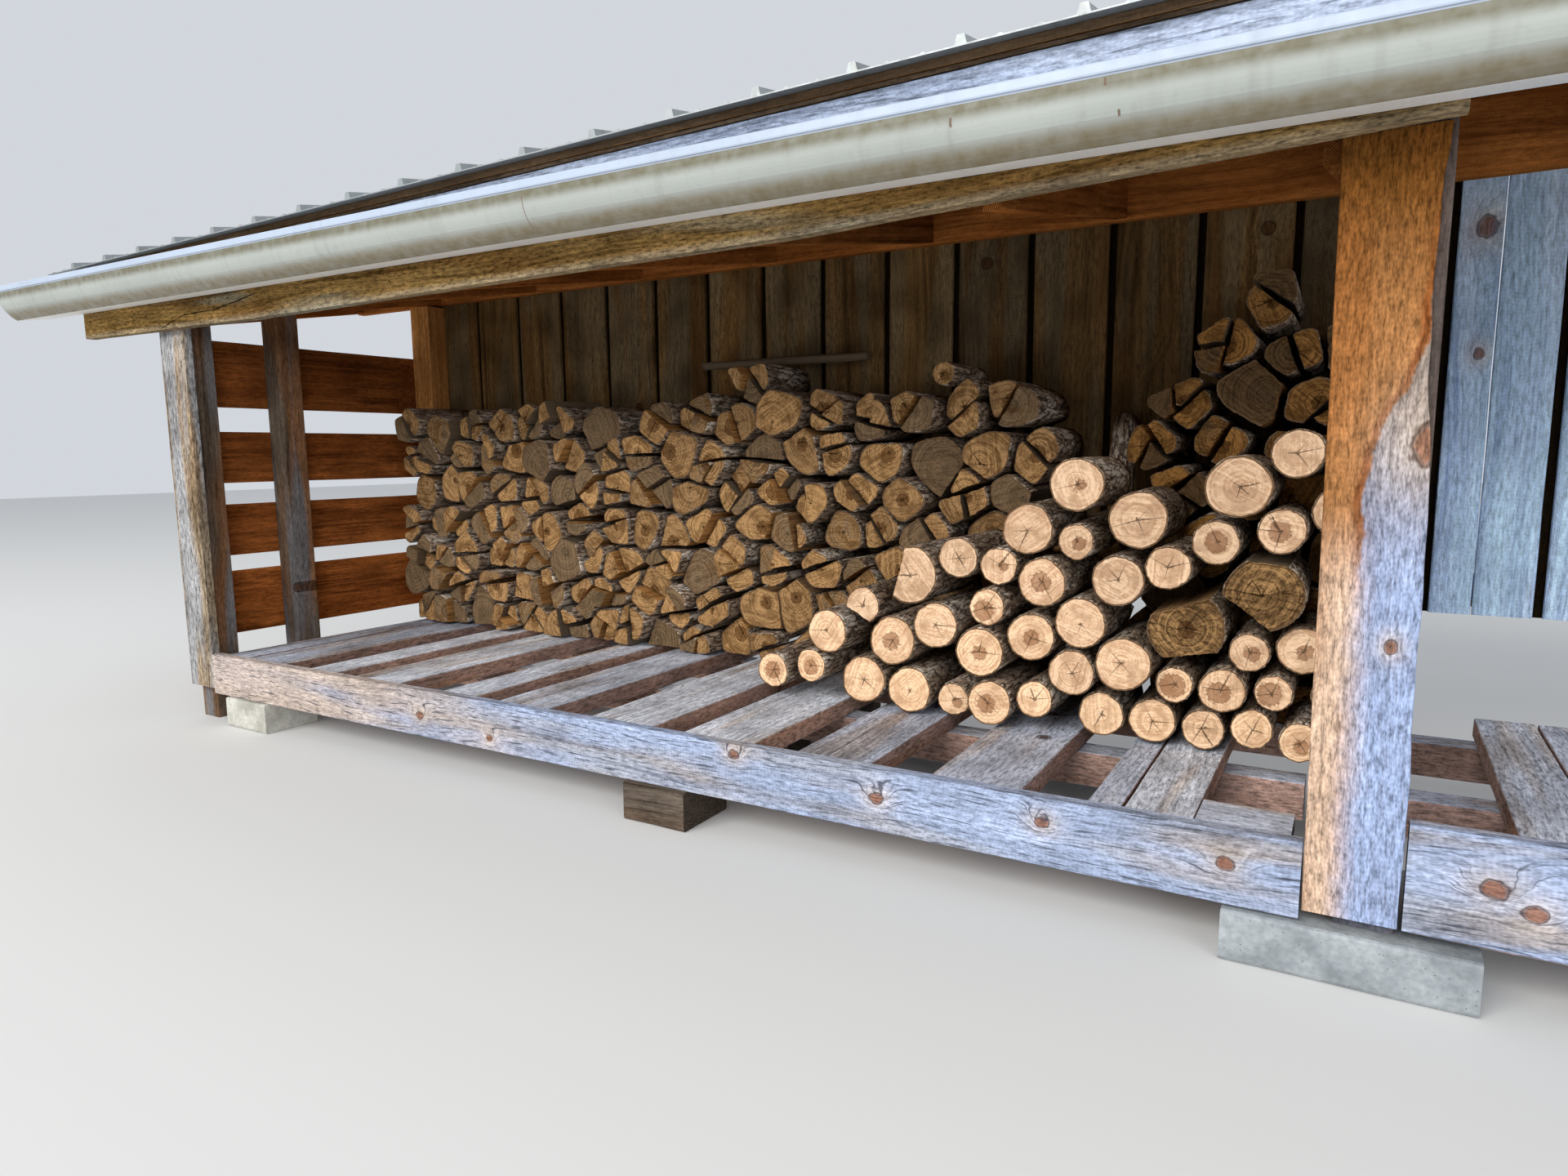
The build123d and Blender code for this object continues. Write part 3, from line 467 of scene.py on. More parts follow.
def stations_z(x0, x1, y0, y1, z0, z1, step=0.12):
    n = max(2, int(abs(z1 - z0) / step) + 1)
    return [[(x0, y0, z), (x1, y0, z), (x1, y1, z), (x0, y1, z)] for z in np.linspace(z0, z1, n)]


# ------------------------------------------------------------ materials
M_POST = wood("post_timber", srgb(184, 166, 142), srgb(92, 76, 58), stain=srgb(150, 116, 80), stain_amount=0.35,
              grey=srgb(166, 166, 168), grey_amount=0.45, knots=0.04, dirt=0.3, speck=0.95, streak=0.4)
M_WIDE = wood("wide_board_timber", srgb(190, 140, 90), srgb(120, 80, 44), knots=0.0, spots=((0.873, 0.160, 0.030), (0.52, 0.118, 0.010)),
              knot_colour=(104, 68, 48), dirt=0.14, speck=0.8, saw=0.045, streak=0.25, over=bleached)
M_SQUARE = wood("square_post_timber", srgb(132, 116, 100), srgb(70, 58, 48), stain=srgb(156, 98, 50), stain_amount=0.5,
                grey=srgb(124, 120, 120), grey_amount=0.4, knots=0.05, dirt=0.3, speck=0.6)
# a darker, greyer copy of the square post timber: painted shade under the roof
M_MIDPOST = wood("middle_post_timber_painted_shade", srgb(112, 106, 106), srgb(58, 52, 52), stain=srgb(96, 74, 56), stain_amount=0.4,
                grey=srgb(108, 110, 122), grey_amount=0.4, knots=0.05, dirt=0.25, speck=0.6)
M_BACKPOST = wood("back_post_timber", srgb(222, 160, 96), srgb(138, 92, 50), stain=srgb(162, 104, 52), knots=0.05, dirt=0.2)
M_RIM = wood("rim_timber", srgb(182, 188, 204), srgb(96, 102, 118), stain=srgb(170, 152, 138), stain_amount=0.4,
             grey=srgb(162, 176, 206), grey_amount=0.55, knots=0.0, knot_colour=(104, 62, 38), dirt=0.2, speck=0.7, saw=0.05, streak=0.8, over=tan_end,
             spots=((1.171, 0.069, 0.013), (1.483, 0.039, 0.010), (2.374, 0.126, 0.012), (2.777, 0.081, 0.014), (3.169, 0.098, 0.012), (3.531, 0.084, 0.013),
                    (20.130, 0.110, 0.017), (20.189, 0.079, 0.015)))
M_SLAT = wood("slat_timber", srgb(216, 210, 210), srgb(120, 112, 112), stain=srgb(146, 114, 88), stain_amount=0.35,
              grey=srgb(204, 210, 226), grey_amount=0.7, knots=0.05, dirt=0.3, speck=0.8, streak=0.4, sides=srgb(164, 112, 72))
M_BLOCK = wood("block_timber", srgb(116, 106, 98), srgb(60, 52, 46), stain=srgb(90, 70, 52), knots=0.03, dirt=0.35, speck=0.6)
M_BEAM = wood("beam_timber", srgb(168, 134, 80), srgb(84, 62, 32), stain=srgb(112, 78, 40), stain_amount=0.55,
              grey=srgb(146, 138, 116), grey_amount=0.3, knots=0.03, contrast=1.2, dirt=0.3, speck=0.95, over=cracked)
M_BEAM_PALE = wood("beam_weathered", srgb(178, 192, 220), srgb(112, 122, 142), grey=srgb(180, 192, 216), grey_amount=0.5, knots=0.03, dirt=0.15,
                   speck=0.6, streak=0.6)
M_BEAM_TOP = wood("beam_top_timber", srgb(132, 114, 96), srgb(76, 62, 50), stain=srgb(98, 76, 56), knots=0.03, dirt=0.3, speck=0.7)
M_FRAME = wood("frame_timber", srgb(188, 120, 62), srgb(110, 64, 30), stain=srgb(138, 78, 34), stain_amount=0.5, knots=0.07, dirt=0.25, speck=0.45)
M_END = wood("end_timber", srgb(178, 106, 54), srgb(92, 50, 22), stain=srgb(120, 64, 28), stain_amount=0.5, knots=0.14, dirt=0.3, speck=0.55, streak=0.3)
M_SIDING = wood("siding_timber", srgb(128, 100, 64), srgb(64, 47, 27), stain=srgb(104, 68, 34), stain_amount=0.4, fine=0.8,
                grey=srgb(110, 94, 70), grey_amount=0.45, knots=0.09, contrast=0.9, dirt=0.45, speck=0.6, streak=0.3)
# the battens' faces towards the store are painted near-black: shade in the joints
M_BATTEN = wood("batten_timber", srgb(124, 98, 64), srgb(62, 46, 28), knots=0.05, dirt=0.4, speck=0.6, over=gap_shade)
# the right bay's boards: weathered grey, with painted light making them far paler and bluer than the left bay's boards
M_SIDING_R = wood("siding_bleached_and_painted_light", srgb(200, 226, 255), srgb(124, 148, 194), stain=srgb(160, 168, 188), stain_amount=0.25,
                  grey=srgb(182, 212, 255), grey_amount=0.5, knots=0.04, spots=((1.027, 0.063, 0.022), (0.701, 0.068, 0.012)),
                  knot_colour=(90, 56, 40), dirt=0.2, speck=0.5, streak=0.35, over=sheltered_back)
M_ROOFB = wood("roof_boarding", srgb(206, 156, 102), srgb(124, 88, 52), stain=srgb(144, 96, 50), stain_amount=0.5, knots=0.08, dirt=0.25, speck=0.45,
               sides=srgb(112, 98, 84))


def concrete(name, light, dark):
    w = Tree(name)
    p = w.attr("gr")
    a = w.noise(p, 9.0, 4.0, 0.66)
    b = w.noise(p, 90.0, 2.0, 0.6)
    c = w.voronoi(p, 140.0)
    pits = w.math("MULTIPLY", w.fit(c.outputs["Distance"], 0.22, 0.08, smooth=True), w.math("GREATER_THAN", w.split(c.outputs["Color"])[0], 0.86))
    base = w.mix(w.fit(a, 0.35, 0.68), dark, light)
    base = w.mix(w.math("MULTIPLY", w.fit(b, 0.4, 0.7), 0.35), base, tuple(x * 0.7 for x in dark))
    base = w.mix(w.math("MULTIPLY", pits, 0.7), base, tuple(x * 0.35 for x in dark))
    h = w.math("ADD", w.math("MULTIPLY", b, 0.6), w.math("ADD", w.math("MULTIPLY", a, 0.8), w.math("MULTIPLY", pits, -0.9)))
    return w.done(base, w.fit(b, 0.3, 0.7, 0.8, 0.95), w.bump(h, 0.6, 0.003), specular=0.25)


M_SLAB = concrete("slab_concrete", srgb(170, 176, 180), srgb(124, 130, 134))
M_PALE = concrete("pale_block", srgb(206, 204, 196), srgb(158, 156, 146))


def painted(name, base_rgb, rough=0.42, metallic=0.0, dirt_rgb=(90, 84, 70), dirt=0.35, bands=(), marks=()):
    """Enamelled metal, with painted shade and grime in bands of its height, and rust marks."""
    w = Tree(name)
    p = w.attr("gr")
    a = w.noise(p, 3.0, 3.0, 0.6)
    b = w.noise(p, 34.0, 2.0, 0.62)
    x, y, z = w.split(p)
    drip = w.noise(w.join(w.math("MULTIPLY", x, 26.0), w.math("MULTIPLY", y, 1.4), w.math("MULTIPLY", z, 1.4)), 1.0, 2.0, 0.6)
    base = w.mix(w.fit(a, 0.3, 0.7), tuple(c * 0.94 for c in base_rgb), tuple(min(1, c * 1.05) for c in base_rgb))
    base = w.mix(w.math("MULTIPLY", w.fit(drip, 0.52, 0.72, smooth=True), dirt), base, srgb(*dirt_rgb))
    base = w.mix(w.math("MULTIPLY", w.fit(b, 0.55, 0.75, smooth=True), dirt * 0.6), base, tuple(c * 0.6 for c in srgb(*dirt_rgb)))
    # each band darkens a strip of the height: painted shade, with some grime in it
    for y_most, z0, z1, amount, rgb in bands:
        t = w.math("MULTIPLY", w.fit(z, z0, z1, smooth=True), w.math("LESS_THAN", y, y_most))
        base = w.mix(w.math("MULTIPLY", t, w.math("MULTIPLY", amount, w.fit(b, 0.2, 0.7, 0.7, 1.15))), base, srgb(*rgb))
    for mx, mz, mw, mh in marks:
        t = w.math("MULTIPLY", w.fit(w.math("ABSOLUTE", w.math("SUBTRACT", w.math("ADD", x, w.math("MULTIPLY", b, 0.004)), mx)), mw, mw * 0.4),
                   w.fit(w.math("ABSOLUTE", w.math("SUBTRACT", z, mz)), mh, mh * 0.6))
        base = w.mix(w.math("MULTIPLY", t, 0.85), base, srgb(92, 60, 42))
    return w.done(base, w.fit(b, 0.3, 0.7, rough - 0.06, rough + 0.12), w.bump(a, 0.15, 0.002), metallic=metallic)


# the band at the cove is painted shade and grime together; the band under the lip is a painted shadow of the lip
M_GUTTER = painted("gutter_paint", srgb(158, 163, 158), dirt=0.14,
                   bands=((-0.150, 0.018, -0.006, 0.85, (116, 104, 78)), (-0.190, 0.042, 0.066, 0.92, (100, 96, 76))),
                   marks=((9.281, 0.049, 0.0035, 0.010), (9.559, 0.068, 0.003, 0.008), (9.581, 0.018, 0.003, 0.006), (8.188, 0.030, 0.0016, 0.046)))
# the lip: the gutter paint in a paler, bluer copy, a painted reflection of the sky
M_LIP = painted("gutter_lip_painted_sky_reflection", srgb(166, 178, 196), dirt=0.08)
# the underside: the paint near white, painted light where the bottom faces the ground
M_UNDER = painted("gutter_underside_painted_light", srgb(246, 247, 244), dirt=0.05)
M_SHEET = painted("roof_metal", srgb(150, 156, 158), rough=0.38, metallic=0.35, dirt=0.3)

# ------------------------------------------------------------ sizes, in mm
post_outer, rim_outer = 3890.0, 3741.0
roof_half, beam_half, gutter_half = 4470.0, 4350.0, 4620.0
fall, tilt, roof_mid = 0.1777, 0.0185, 1782.0


def under(x):
    return roof_mid - tilt * abs(x)


def box_piece(name, node, slot_name, material, axis, x0, x1, y0, y1, z0, z1, seed, tone=None, offset=None, arris=0.0025):
    m = Mesh(name)
    rng = Random(seed)
    fn = {"x": stations_x, "y": stations_y, "z": stations_z}[axis]
    beam(m, fn(x0 * MM, x1 * MM, Y(y0), Y(y1), z0 * MM, z1 * MM), rng, tone=tone, offset=offset, arris=arris)
    return m.build([material], node, slot_name)


# posts
for sign, side in ((-1, "left"), (1, "right")):
    a, b = sorted((sign * rim_outer, sign * (rim_outer + 157.0)))
    box_piece(f"board_on_front_post_{side}", f"front_post_board_{side}", "weathered_timber", M_POST, "z", a, b, 0, 34, 130, 1478, 10 + sign, tone=0.5)
    a, b = sorted((sign * (post_outer - 100), sign * post_outer))
    box_piece(f"front_post_{side}", f"corner_post_front_{side}", "weathered_timber", M_SQUARE, "z", a, b, 34, 134, 0, 1680, 20 + sign, tone=0.5)
    box_piece(f"side_post_{side}", f"middle_post_{side}", "weathered_timber", M_SQUARE, "z", a, b, 390, 487, 0, 1640, 30 + sign, tone=0.35, arris=0.006)
    a, b = sorted((sign * (post_outer - 120), sign * post_outer))
    box_piece(f"back_post_{side}", f"corner_post_back_{side}", "weathered_timber", M_BACKPOST, "z", a, b, 1120, 1220, 0, 1680, 40 + sign, tone=0.6)
box_piece("middle_square_post", "centre_post", "weathered_timber", M_MIDPOST, "z", -23, 77, 34, 134, 104, 1700, 51, tone=0.6)

# the wide board on the middle post, its right edge left as the tree grew
m = Mesh("wide_board_on_middle_post")
rng = Random(61)
edge = ((130, 83), (640, 81), (960, 76), (1130, 64), (1290, 58), (1420, 62), (1528, 71))
zs = [130 + (1528 - 130) * k / 34.0 for k in range(35)]


def along(table, z):
    for (z0, v0), (z1, v1) in zip(table, table[1:]):
        if z0 <= z <= z1:
            t = (z - z0) / (z1 - z0)
            t = t * t * (3 - 2 * t)
            return v0 + (v1 - v0) * t
    return table[-1][1]


st = []
for z in zs:
    left = -75 - 16 * (z - 130) / 1398.0
    right = along(edge, z) - 1.5 - 1.5 * math.sin(z * 0.013) - 0.8 * math.sin(z * 0.041)
    st.append([(left * MM, Y(0), z * MM), (right * MM, Y(0), z * MM), ((right - 3) * MM, Y(34), z * MM), (left * MM, Y(34), z * MM)])
beam(m, st, rng, tone=0.5, arris=0.003, offset=(0.0, 0.0, 0.0))
m.build([M_WIDE], "centre_post_board", "weathered_timber")

# ends
end_z = ((1195.0, 1449.0), (900.0, 1101.0), (613.0, 816.0), (300.0, 550.0))
end_y = ((34.0, 1218.0), (34.0, 1213.0), (34.0, 1219.0), (34.0, 1210.0))
for sign, side in ((-1, "left"), (1, "right")):
    a, b = sorted((sign * post_outer, sign * (post_outer + 25)))
    for k in range(4):
        # the boards' tones run from dark at the top to light at the bottom: painted shade under the roof
        box_piece(f"end_plank_{side}_{k + 1}", f"end_board_{side}_{k + 1}", "end_timber", M_END, "y", a, b, *end_y[k], *end_z[k], 70 + k + 10 * sign, tone=(0.15, 0.4, 0.7, 1.0)[k])

# deck
box_piece("rim_left", "rim_board_left", "weathered_timber", M_RIM, "x", -rim_outer, -79, 0, 38, 110, 262, 91, tone=0.6, offset=(0.0, 0.0, 0.0))
box_piece("rim_right", "rim_board_right", "weathered_timber", M_RIM, "x", 87, rim_outer, 0, 38, 128, 331, 92, tone=0.5, offset=(20.0, 0.0, 0.0))
slats = ((-3712.0, -3585.0), (-3562.0, -3349.0), (-3202.0, -3058.0), (-2947.0, -2722.0), (-2512.0, -2361.0), (-2259.0, -2052.0),
         (-1891.0, -1664.0), (-1562.0, -1334.0), (-1207.0, -1001.0), (-847.0, -632.0), (-491.0, -419.0), (-415.0, -277.0))
for sign, side in ((-1, "left"), (1, "right")):
    m = Mesh(f"sleeper_set_{side}")
    rng = Random(100 + sign)
    for y in (38.0, 560.0, 1085.0):
        a, b = sorted((sign * 3700.0, sign * 100.0))
        beam(m, stations_x(a * MM, b * MM, Y(y), Y(y + 90), 0.110, 0.203), rng)
    m.build([M_SLAT], f"sleepers_{side}", "weathered_timber")
    m = Mesh(f"deck_boards_{side}")
    rng = Random(110 + sign)
    for low, high in slats:
        a, b = (low, high) if sign < 0 else (-high, -low)
        beam(m, stations_y(a * MM, b * MM, Y(38), Y(1216), 0.203, 0.258, 0.1), rng, arris=0.004, wobble=0.0015)
    a, b = (-275.0, -101.0) if sign < 0 else (109.0, 275.0)
    beam(m, stations_x(a * MM, b * MM, Y(38), Y(178), 0.220, 0.258), rng, arris=0.004)
    m.build([M_SLAT], f"deck_slats_{side}", "weathered_timber")

# footings
m = Mesh("slab_under_middle_post")
beam(m, stations_x(-0.213, 0.211, Y(-15), Y(385), 0.0, 0.104, 0.03), Random(121), arris=0.008, wobble=0.002)
m.build([M_SLAB], "centre_slab", "concrete")
for name, node, slot_name, material, span in (("timber_block_set", "timber_blocks", "weathered_timber", M_BLOCK, (1520.0, 1725.0)),
                                              ("pale_block_set", "pale_blocks", "pale_block", M_PALE, (3400.0, 3645.0))):
    m = Mesh(name)
    rng = Random(125)
    for sign in (-1, 1):
        for low, high in ((-15.0, 190.0), (530.0, 680.0), (1040.0, 1215.0)):
            a, b = sorted((sign * span[0], sign * span[1]))
            beam(m, stations_x(a * MM, b * MM, Y(low), Y(high), 0.0, 0.110, 0.03), rng, arris=0.006, wobble=0.002)
    m.build([material], node, slot_name)

# back wall
pitch, gap = 256.5, 20.0
gaps = sorted(g for g in [30.0 - pitch * k for k in range(16)] + [140.0 + pitch * k for k in range(15)] if abs(g) < post_outer - 40)
edges = [-post_outer] + [e for g in gaps for e in (g - gap / 2, g + gap / 2)] + [post_outer]
boards = [(edges[i], edges[i + 1]) for i in range(0, len(edges), 2)]
for sign, side in ((-1, "left"), (1, "right")):
    m = Mesh(f"siding_{side}")
    rng = Random(130 + sign)
    for low, high in boards:
        if (low + high) * sign > 0:
            # the first wide board of the right bay is two narrow ones, edge to edge
            parts = [(low, 249.5, (0.0, 0.0, 0.0)), (250.5, high, None)] if low == 150.0 else [(low, high, None)]
            for x0, x1, offset in parts:
                beam(m, stations_z(x0 * MM, x1 * MM, Y(1220), Y(1242), 0.543, 1.922, 0.15), rng, arris=0.009, wobble=0.0015, offset=offset)
    m.build([M_SIDING if sign < 0 else M_SIDING_R], f"back_boards_{side}", "siding_timber")
m = Mesh("siding_battens")
rng = Random(140)
for g in gaps:
    beam(m, stations_z((g - 30) * MM, (g + 30) * MM, Y(1242), Y(1260), 0.543, 1.922, 0.3), rng)
m.build([M_BATTEN], "back_battens", "siding_timber")
m = Mesh("siding_rails")
rng = Random(141)
for low, high in ((560.0, 650.0), (1845.0, 1935.0)):
    beam(m, stations_x(-3.890, 3.890, Y(1260), Y(1298), low * MM, high * MM), rng)
m.build([M_FRAME], "back_rails", "siding_timber")

# roof frame
box_piece("wall_ledger", "ledger", "frame_timber", M_FRAME, "x", -beam_half, beam_half, 1182, 1220, 1690, 1914, 150, tone=0.7)
m = Mesh("rafter_set")
rng = Random(151)
for face in (-4307.0, -3747.0, -3147.0, -2565.0, -1933.0, -1319.0, -692.0, -82.0, 528.0, 1138.0, 1748.0, 2358.0, 2968.0, 3578.0, 4307.0):
    x0, x1 = face - 38.0, face
    outer = max(abs(x0), abs(x1))
    y0 = -2.0 if abs(face + 82) > 1 else 34.0
    st = []
    for k in range(11):
        d = y0 + (1182.0 - y0) * k / 10
        lo = 1484.0 + fall * (d + 2.0)
        hi = under(outer) + fall * (d + 40.0)
        st.append([(x0 * MM, Y(d), hi * MM), (x1 * MM, Y(d), hi * MM), (x1 * MM, Y(d), lo * MM), (x0 * MM, Y(d), lo * MM)])
    beam(m, st, rng)
m.build([M_FRAME], "rafters", "frame_timber")

# front beam
low_line = ((-4350.0, 1463.0), (-3280.0, 1457.0), (-1137.0, 1479.0), (-900.0, 1490.0), (85.0, 1530.0))


def low_side(x):
    return float(np.interp(x, [q[0] for q in low_line], [q[1] for q in low_line])) if x <= 85 else 1600.0


# each half is a deep lower board, a weathered one over it and a thin top strip
for side, xs, seed in (("left", sorted(set([q[0] for q in low_line] + [0.0] + list(np.linspace(-4350, 85, 45)))), 161),
                       ("right", list(np.linspace(85.01, 4350, 44)), 162)):
    m = Mesh(f"eave_beam_{side}")
    rng = Random(seed)
    for part in range(3):
        st = []
        for x in xs:
            top = under(x) if side == "right" or x < 0 else under(85.0)
            levels = (low_side(x), 1640.0, 1641.5, top - 11.5, top - 10.0, top)
            lo, hi = levels[2 * part], levels[2 * part + 1]
            proud = 0.0 if part != 1 else 1.5
            st.append([(x * MM, Y(-40 + proud), lo * MM), (x * MM, Y(-40 + proud), hi * MM), (x * MM, Y(-2), hi * MM), (x * MM, Y(-2), lo * MM)])
        beam(m, st, rng, tone=0.5, arris=0.002, mat=part, offset=(0.0, 0.0, 0.0) if part == 0 and side == "left" else None)
    m.build([M_BEAM, M_BEAM_PALE, M_BEAM_TOP], f"front_beam_{side}", "beam_timber")

# roof boarding: nine planks a side, laid along the roof
for sign, side in ((-1, "left"), (1, "right")):
    m = Mesh(f"roof_planks_{side}")
    rng = Random(170 + sign)
    planks = 9
    span = (1242.0 + 45.0) / planks
    for k in range(planks):
        d0, d1 = -45.0 + span * k + (0.8 if k else 0.0), -45.0 + span * (k + 1) - (0.8 if k < planks - 1 else 0.0)
        st = []
        for x in np.linspace(0.0, beam_half + 5.0, 30):
            a = under(x) + fall * (d0 + 40.0)
            b = under(x) + fall * (d1 + 40.0)
            st.append([(sign * x * MM, Y(d0), a * MM), (sign * x * MM, Y(d1), b * MM),
                       (sign * x * MM, Y(d1), (b + 18.3) * MM), (sign * x * MM, Y(d0), (a + 18.3) * MM)])
        beam(m, st, rng, arris=0.0015, wobble=0.0004)
    m.build([M_ROOFB], f"roof_boards_{side}", "weathered_timber")

# ribbed sheet
for sign, side in ((-1, "left"), (1, "right")):
    d0, d1 = -95.0, 1250.0
    def base(x, d):
        return under(x) + 18.3 + fall * (d + 40.0)
    top = [(0.0, 3.0)]
    mid = 42.0
    while mid < roof_half - 20:
        top += [(mid - 15, 3.0), (mid - 12.5, 4.0), (mid - 8.2, 20.3), (mid - 6, 21.8), (mid + 6, 21.8), (mid + 8.2, 20.3), (mid + 12.5, 4.0), (mid + 15, 3.0)]
        for extra in (78.3, 156.6):
            if mid + extra < roof_half - 30:
                top += [(mid + extra - 7, 3.0), (mid + extra - 3, 6.0), (mid + extra + 3, 6.0), (mid + extra + 7, 3.0)]
        mid += 235.0
    top += [(roof_half, 3.0), (roof_half, 0.0)]
    n_top = len(top)
    rows = 9
    verts, gr = [], []
    prof = top + [(x, 0.0) for x, _ in reversed(top[:-1])]
    N = len(prof)
    for r in range(rows):
        d = d0 + (d1 - d0) * r / (rows - 1)
        for x, h in prof:
            verts.append((sign * x * MM, Y(d), (base(x, d) + h) * MM))
            gr.append((sign * x * MM + 30, d * MM, h * MM))
    faces = []
    for r in range(rows - 1):
        for i in range(N):
            j = (i + 1) % N
            f = [r * N + i, r * N + j, (r + 1) * N + j, (r + 1) * N + i]
            faces.append(f if sign < 0 else f[::-1])
    # close both edges with quads between the top and the flat underside
    for r, flip in ((0, sign < 0), (rows - 1, sign > 0)):
        # one face for each strip, by matching points above and below
        for i in range(n_top - 2):
            a, b = r * N + i, r * N + i + 1
            c, d_ = r * N + (2 * n_top - 2 - (i + 1)) % N, r * N + (2 * n_top - 2 - i) % N
            quad = []
            for q in (a, b, c, d_):
                if q not in quad:
                    quad.append(q)
            if len(quad) >= 3:
                faces.append(quad[::-1] if flip else quad)
    m = Mesh(f"ribbed_sheet_{side}")
    m.add(verts, faces, gr, 0.5, 0.0, 0, False)
    m.build([M_SHEET], f"roof_sheet_{side}", "roof_metal")

# ------------------------------------------------------------ gutter
outer = [(-40.2, 104.0), (-40.2, -1.5), (-41.5, -4.0), (-150.0, -21.4), (-153.8, -21.4), (-157.4, -19.6), (-163.0, -15.8), (-169.0, -11.6), (-176.0, -5.6),
         (-182.4, 0.8), (-188.8, 7.6), (-195.0, 15.0), (-199.4, 22.6), (-203.0, 30.4), (-205.4, 37.4), (-207.0, 44.2), (-208.4, 51.0),
         (-209.6, 58.4), (-210.6, 66.0), (-211.4, 76.8), (-212.6, 79.0), (-215.6, 80.4), (-216.5, 83.4), (-216.5, 97.4), (-215.2, 99.9), (-212.0, 100.9),
         (-207.4, 100.9), (-205.0, 99.4), (-204.2, 92.0)]


def shell_profile(points, t):
    """Outer line and the same line t inside it."""
    P = np.array(points)
    inner = []
    for i in range(len(P)):
        a = P[max(i - 1, 0)]
        b = P[min(i + 1, len(P) - 1)]
        d = (b - a) / np.linalg.norm(b - a)
        n = np.array([d[1], -d[0]])
        inner.append(P[i] - n * t)
    return P, np.array(inner)


P, Q = shell_profile(outer, 1.4)
# the inside is the side that faces the middle of the trough
centre = np.array([-120.0, 60.0])
if np.linalg.norm(Q[8] - centre) > np.linalg.norm(P[8] - centre):
    Q = 2 * P - Q
ring_pts = np.vstack([P, Q[::-1]])
lip_from = 19
for sign, side, z_end in ((-1, "left", 1562.0), (1, "right", 1538.0)):
    m = Mesh(f"gutter_run_{side}")
    n_st = 40
    verts, gr = [], []
    N = len(ring_pts)
    for k in range(n_st):
        x = sign * gutter_half * k / (n_st - 1)
        zb = 1550.0 + (z_end - 1550.0) * k / (n_st - 1)
        for yy, zz in ring_pts:
            verts.append((x * MM, Y(yy), (zb + zz) * MM))
            gr.append((x * MM + 10, yy * MM, zz * MM))
    faces, mats = [], []
    n_out = len(P)
    for k in range(n_st - 1):
        for i in range(N):
            j = (i + 1) % N
            f = [k * N + i, k * N + j, (k + 1) * N + j, (k + 1) * N + i]
            faces.append(f if sign > 0 else f[::-1])
            io = i if i < n_out else 2 * n_out - 1 - i
            # material 1, the lip, is the paint with a painted reflection of the sky
            # material 2, the underside, is the near-white copy with painted light from below
            mats.append(1 if lip_from <= io else 2 if io in (2, 3) else 0)
    faces.append([i for i in range(N)][::-1] if sign > 0 else [i for i in range(N)])
    mats.append(0)
    faces.append([(n_st - 1) * N + i for i in range(N)] if sign > 0 else [(n_st - 1) * N + i for i in range(N)][::-1])
    mats.append(0)
    m.add(verts, faces, gr, 0.5, 0.0, mats, False)
    # closed end: a flat plate with a turned rim
    cap = np.vstack([P[:24], [(-41.4, 97.4)]])
    verts, gr, faces = [], [], []
    x0, x1 = sign * (gutter_half - 0.0), sign * (gutter_half - 1.6)
    for x in (x0, x1):
        for yy, zz in cap:
            verts.append((x * MM, Y(min(yy, -41.0) if yy > -41 else yy), (z_end + min(zz, 99.5)) * MM))
            gr.append((x * MM, yy * MM, zz * MM))
    n = len(cap)
    a = list(range(n))
    b = [n + i for i in range(n)]
    faces.append(a[::-1] if sign < 0 else a)
    faces.append(b if sign < 0 else b[::-1])
    for i in range(n):
        j = (i + 1) % n
        f = [a[i], a[j], b[j], b[i]]
        faces.append(f if sign < 0 else f[::-1])
    m.add(verts, faces, gr, 0.5, 0.0, 0, False)
    o = m.build([M_GUTTER, M_LIP, M_UNDER], f"gutter_{side}", "gutter_paint")

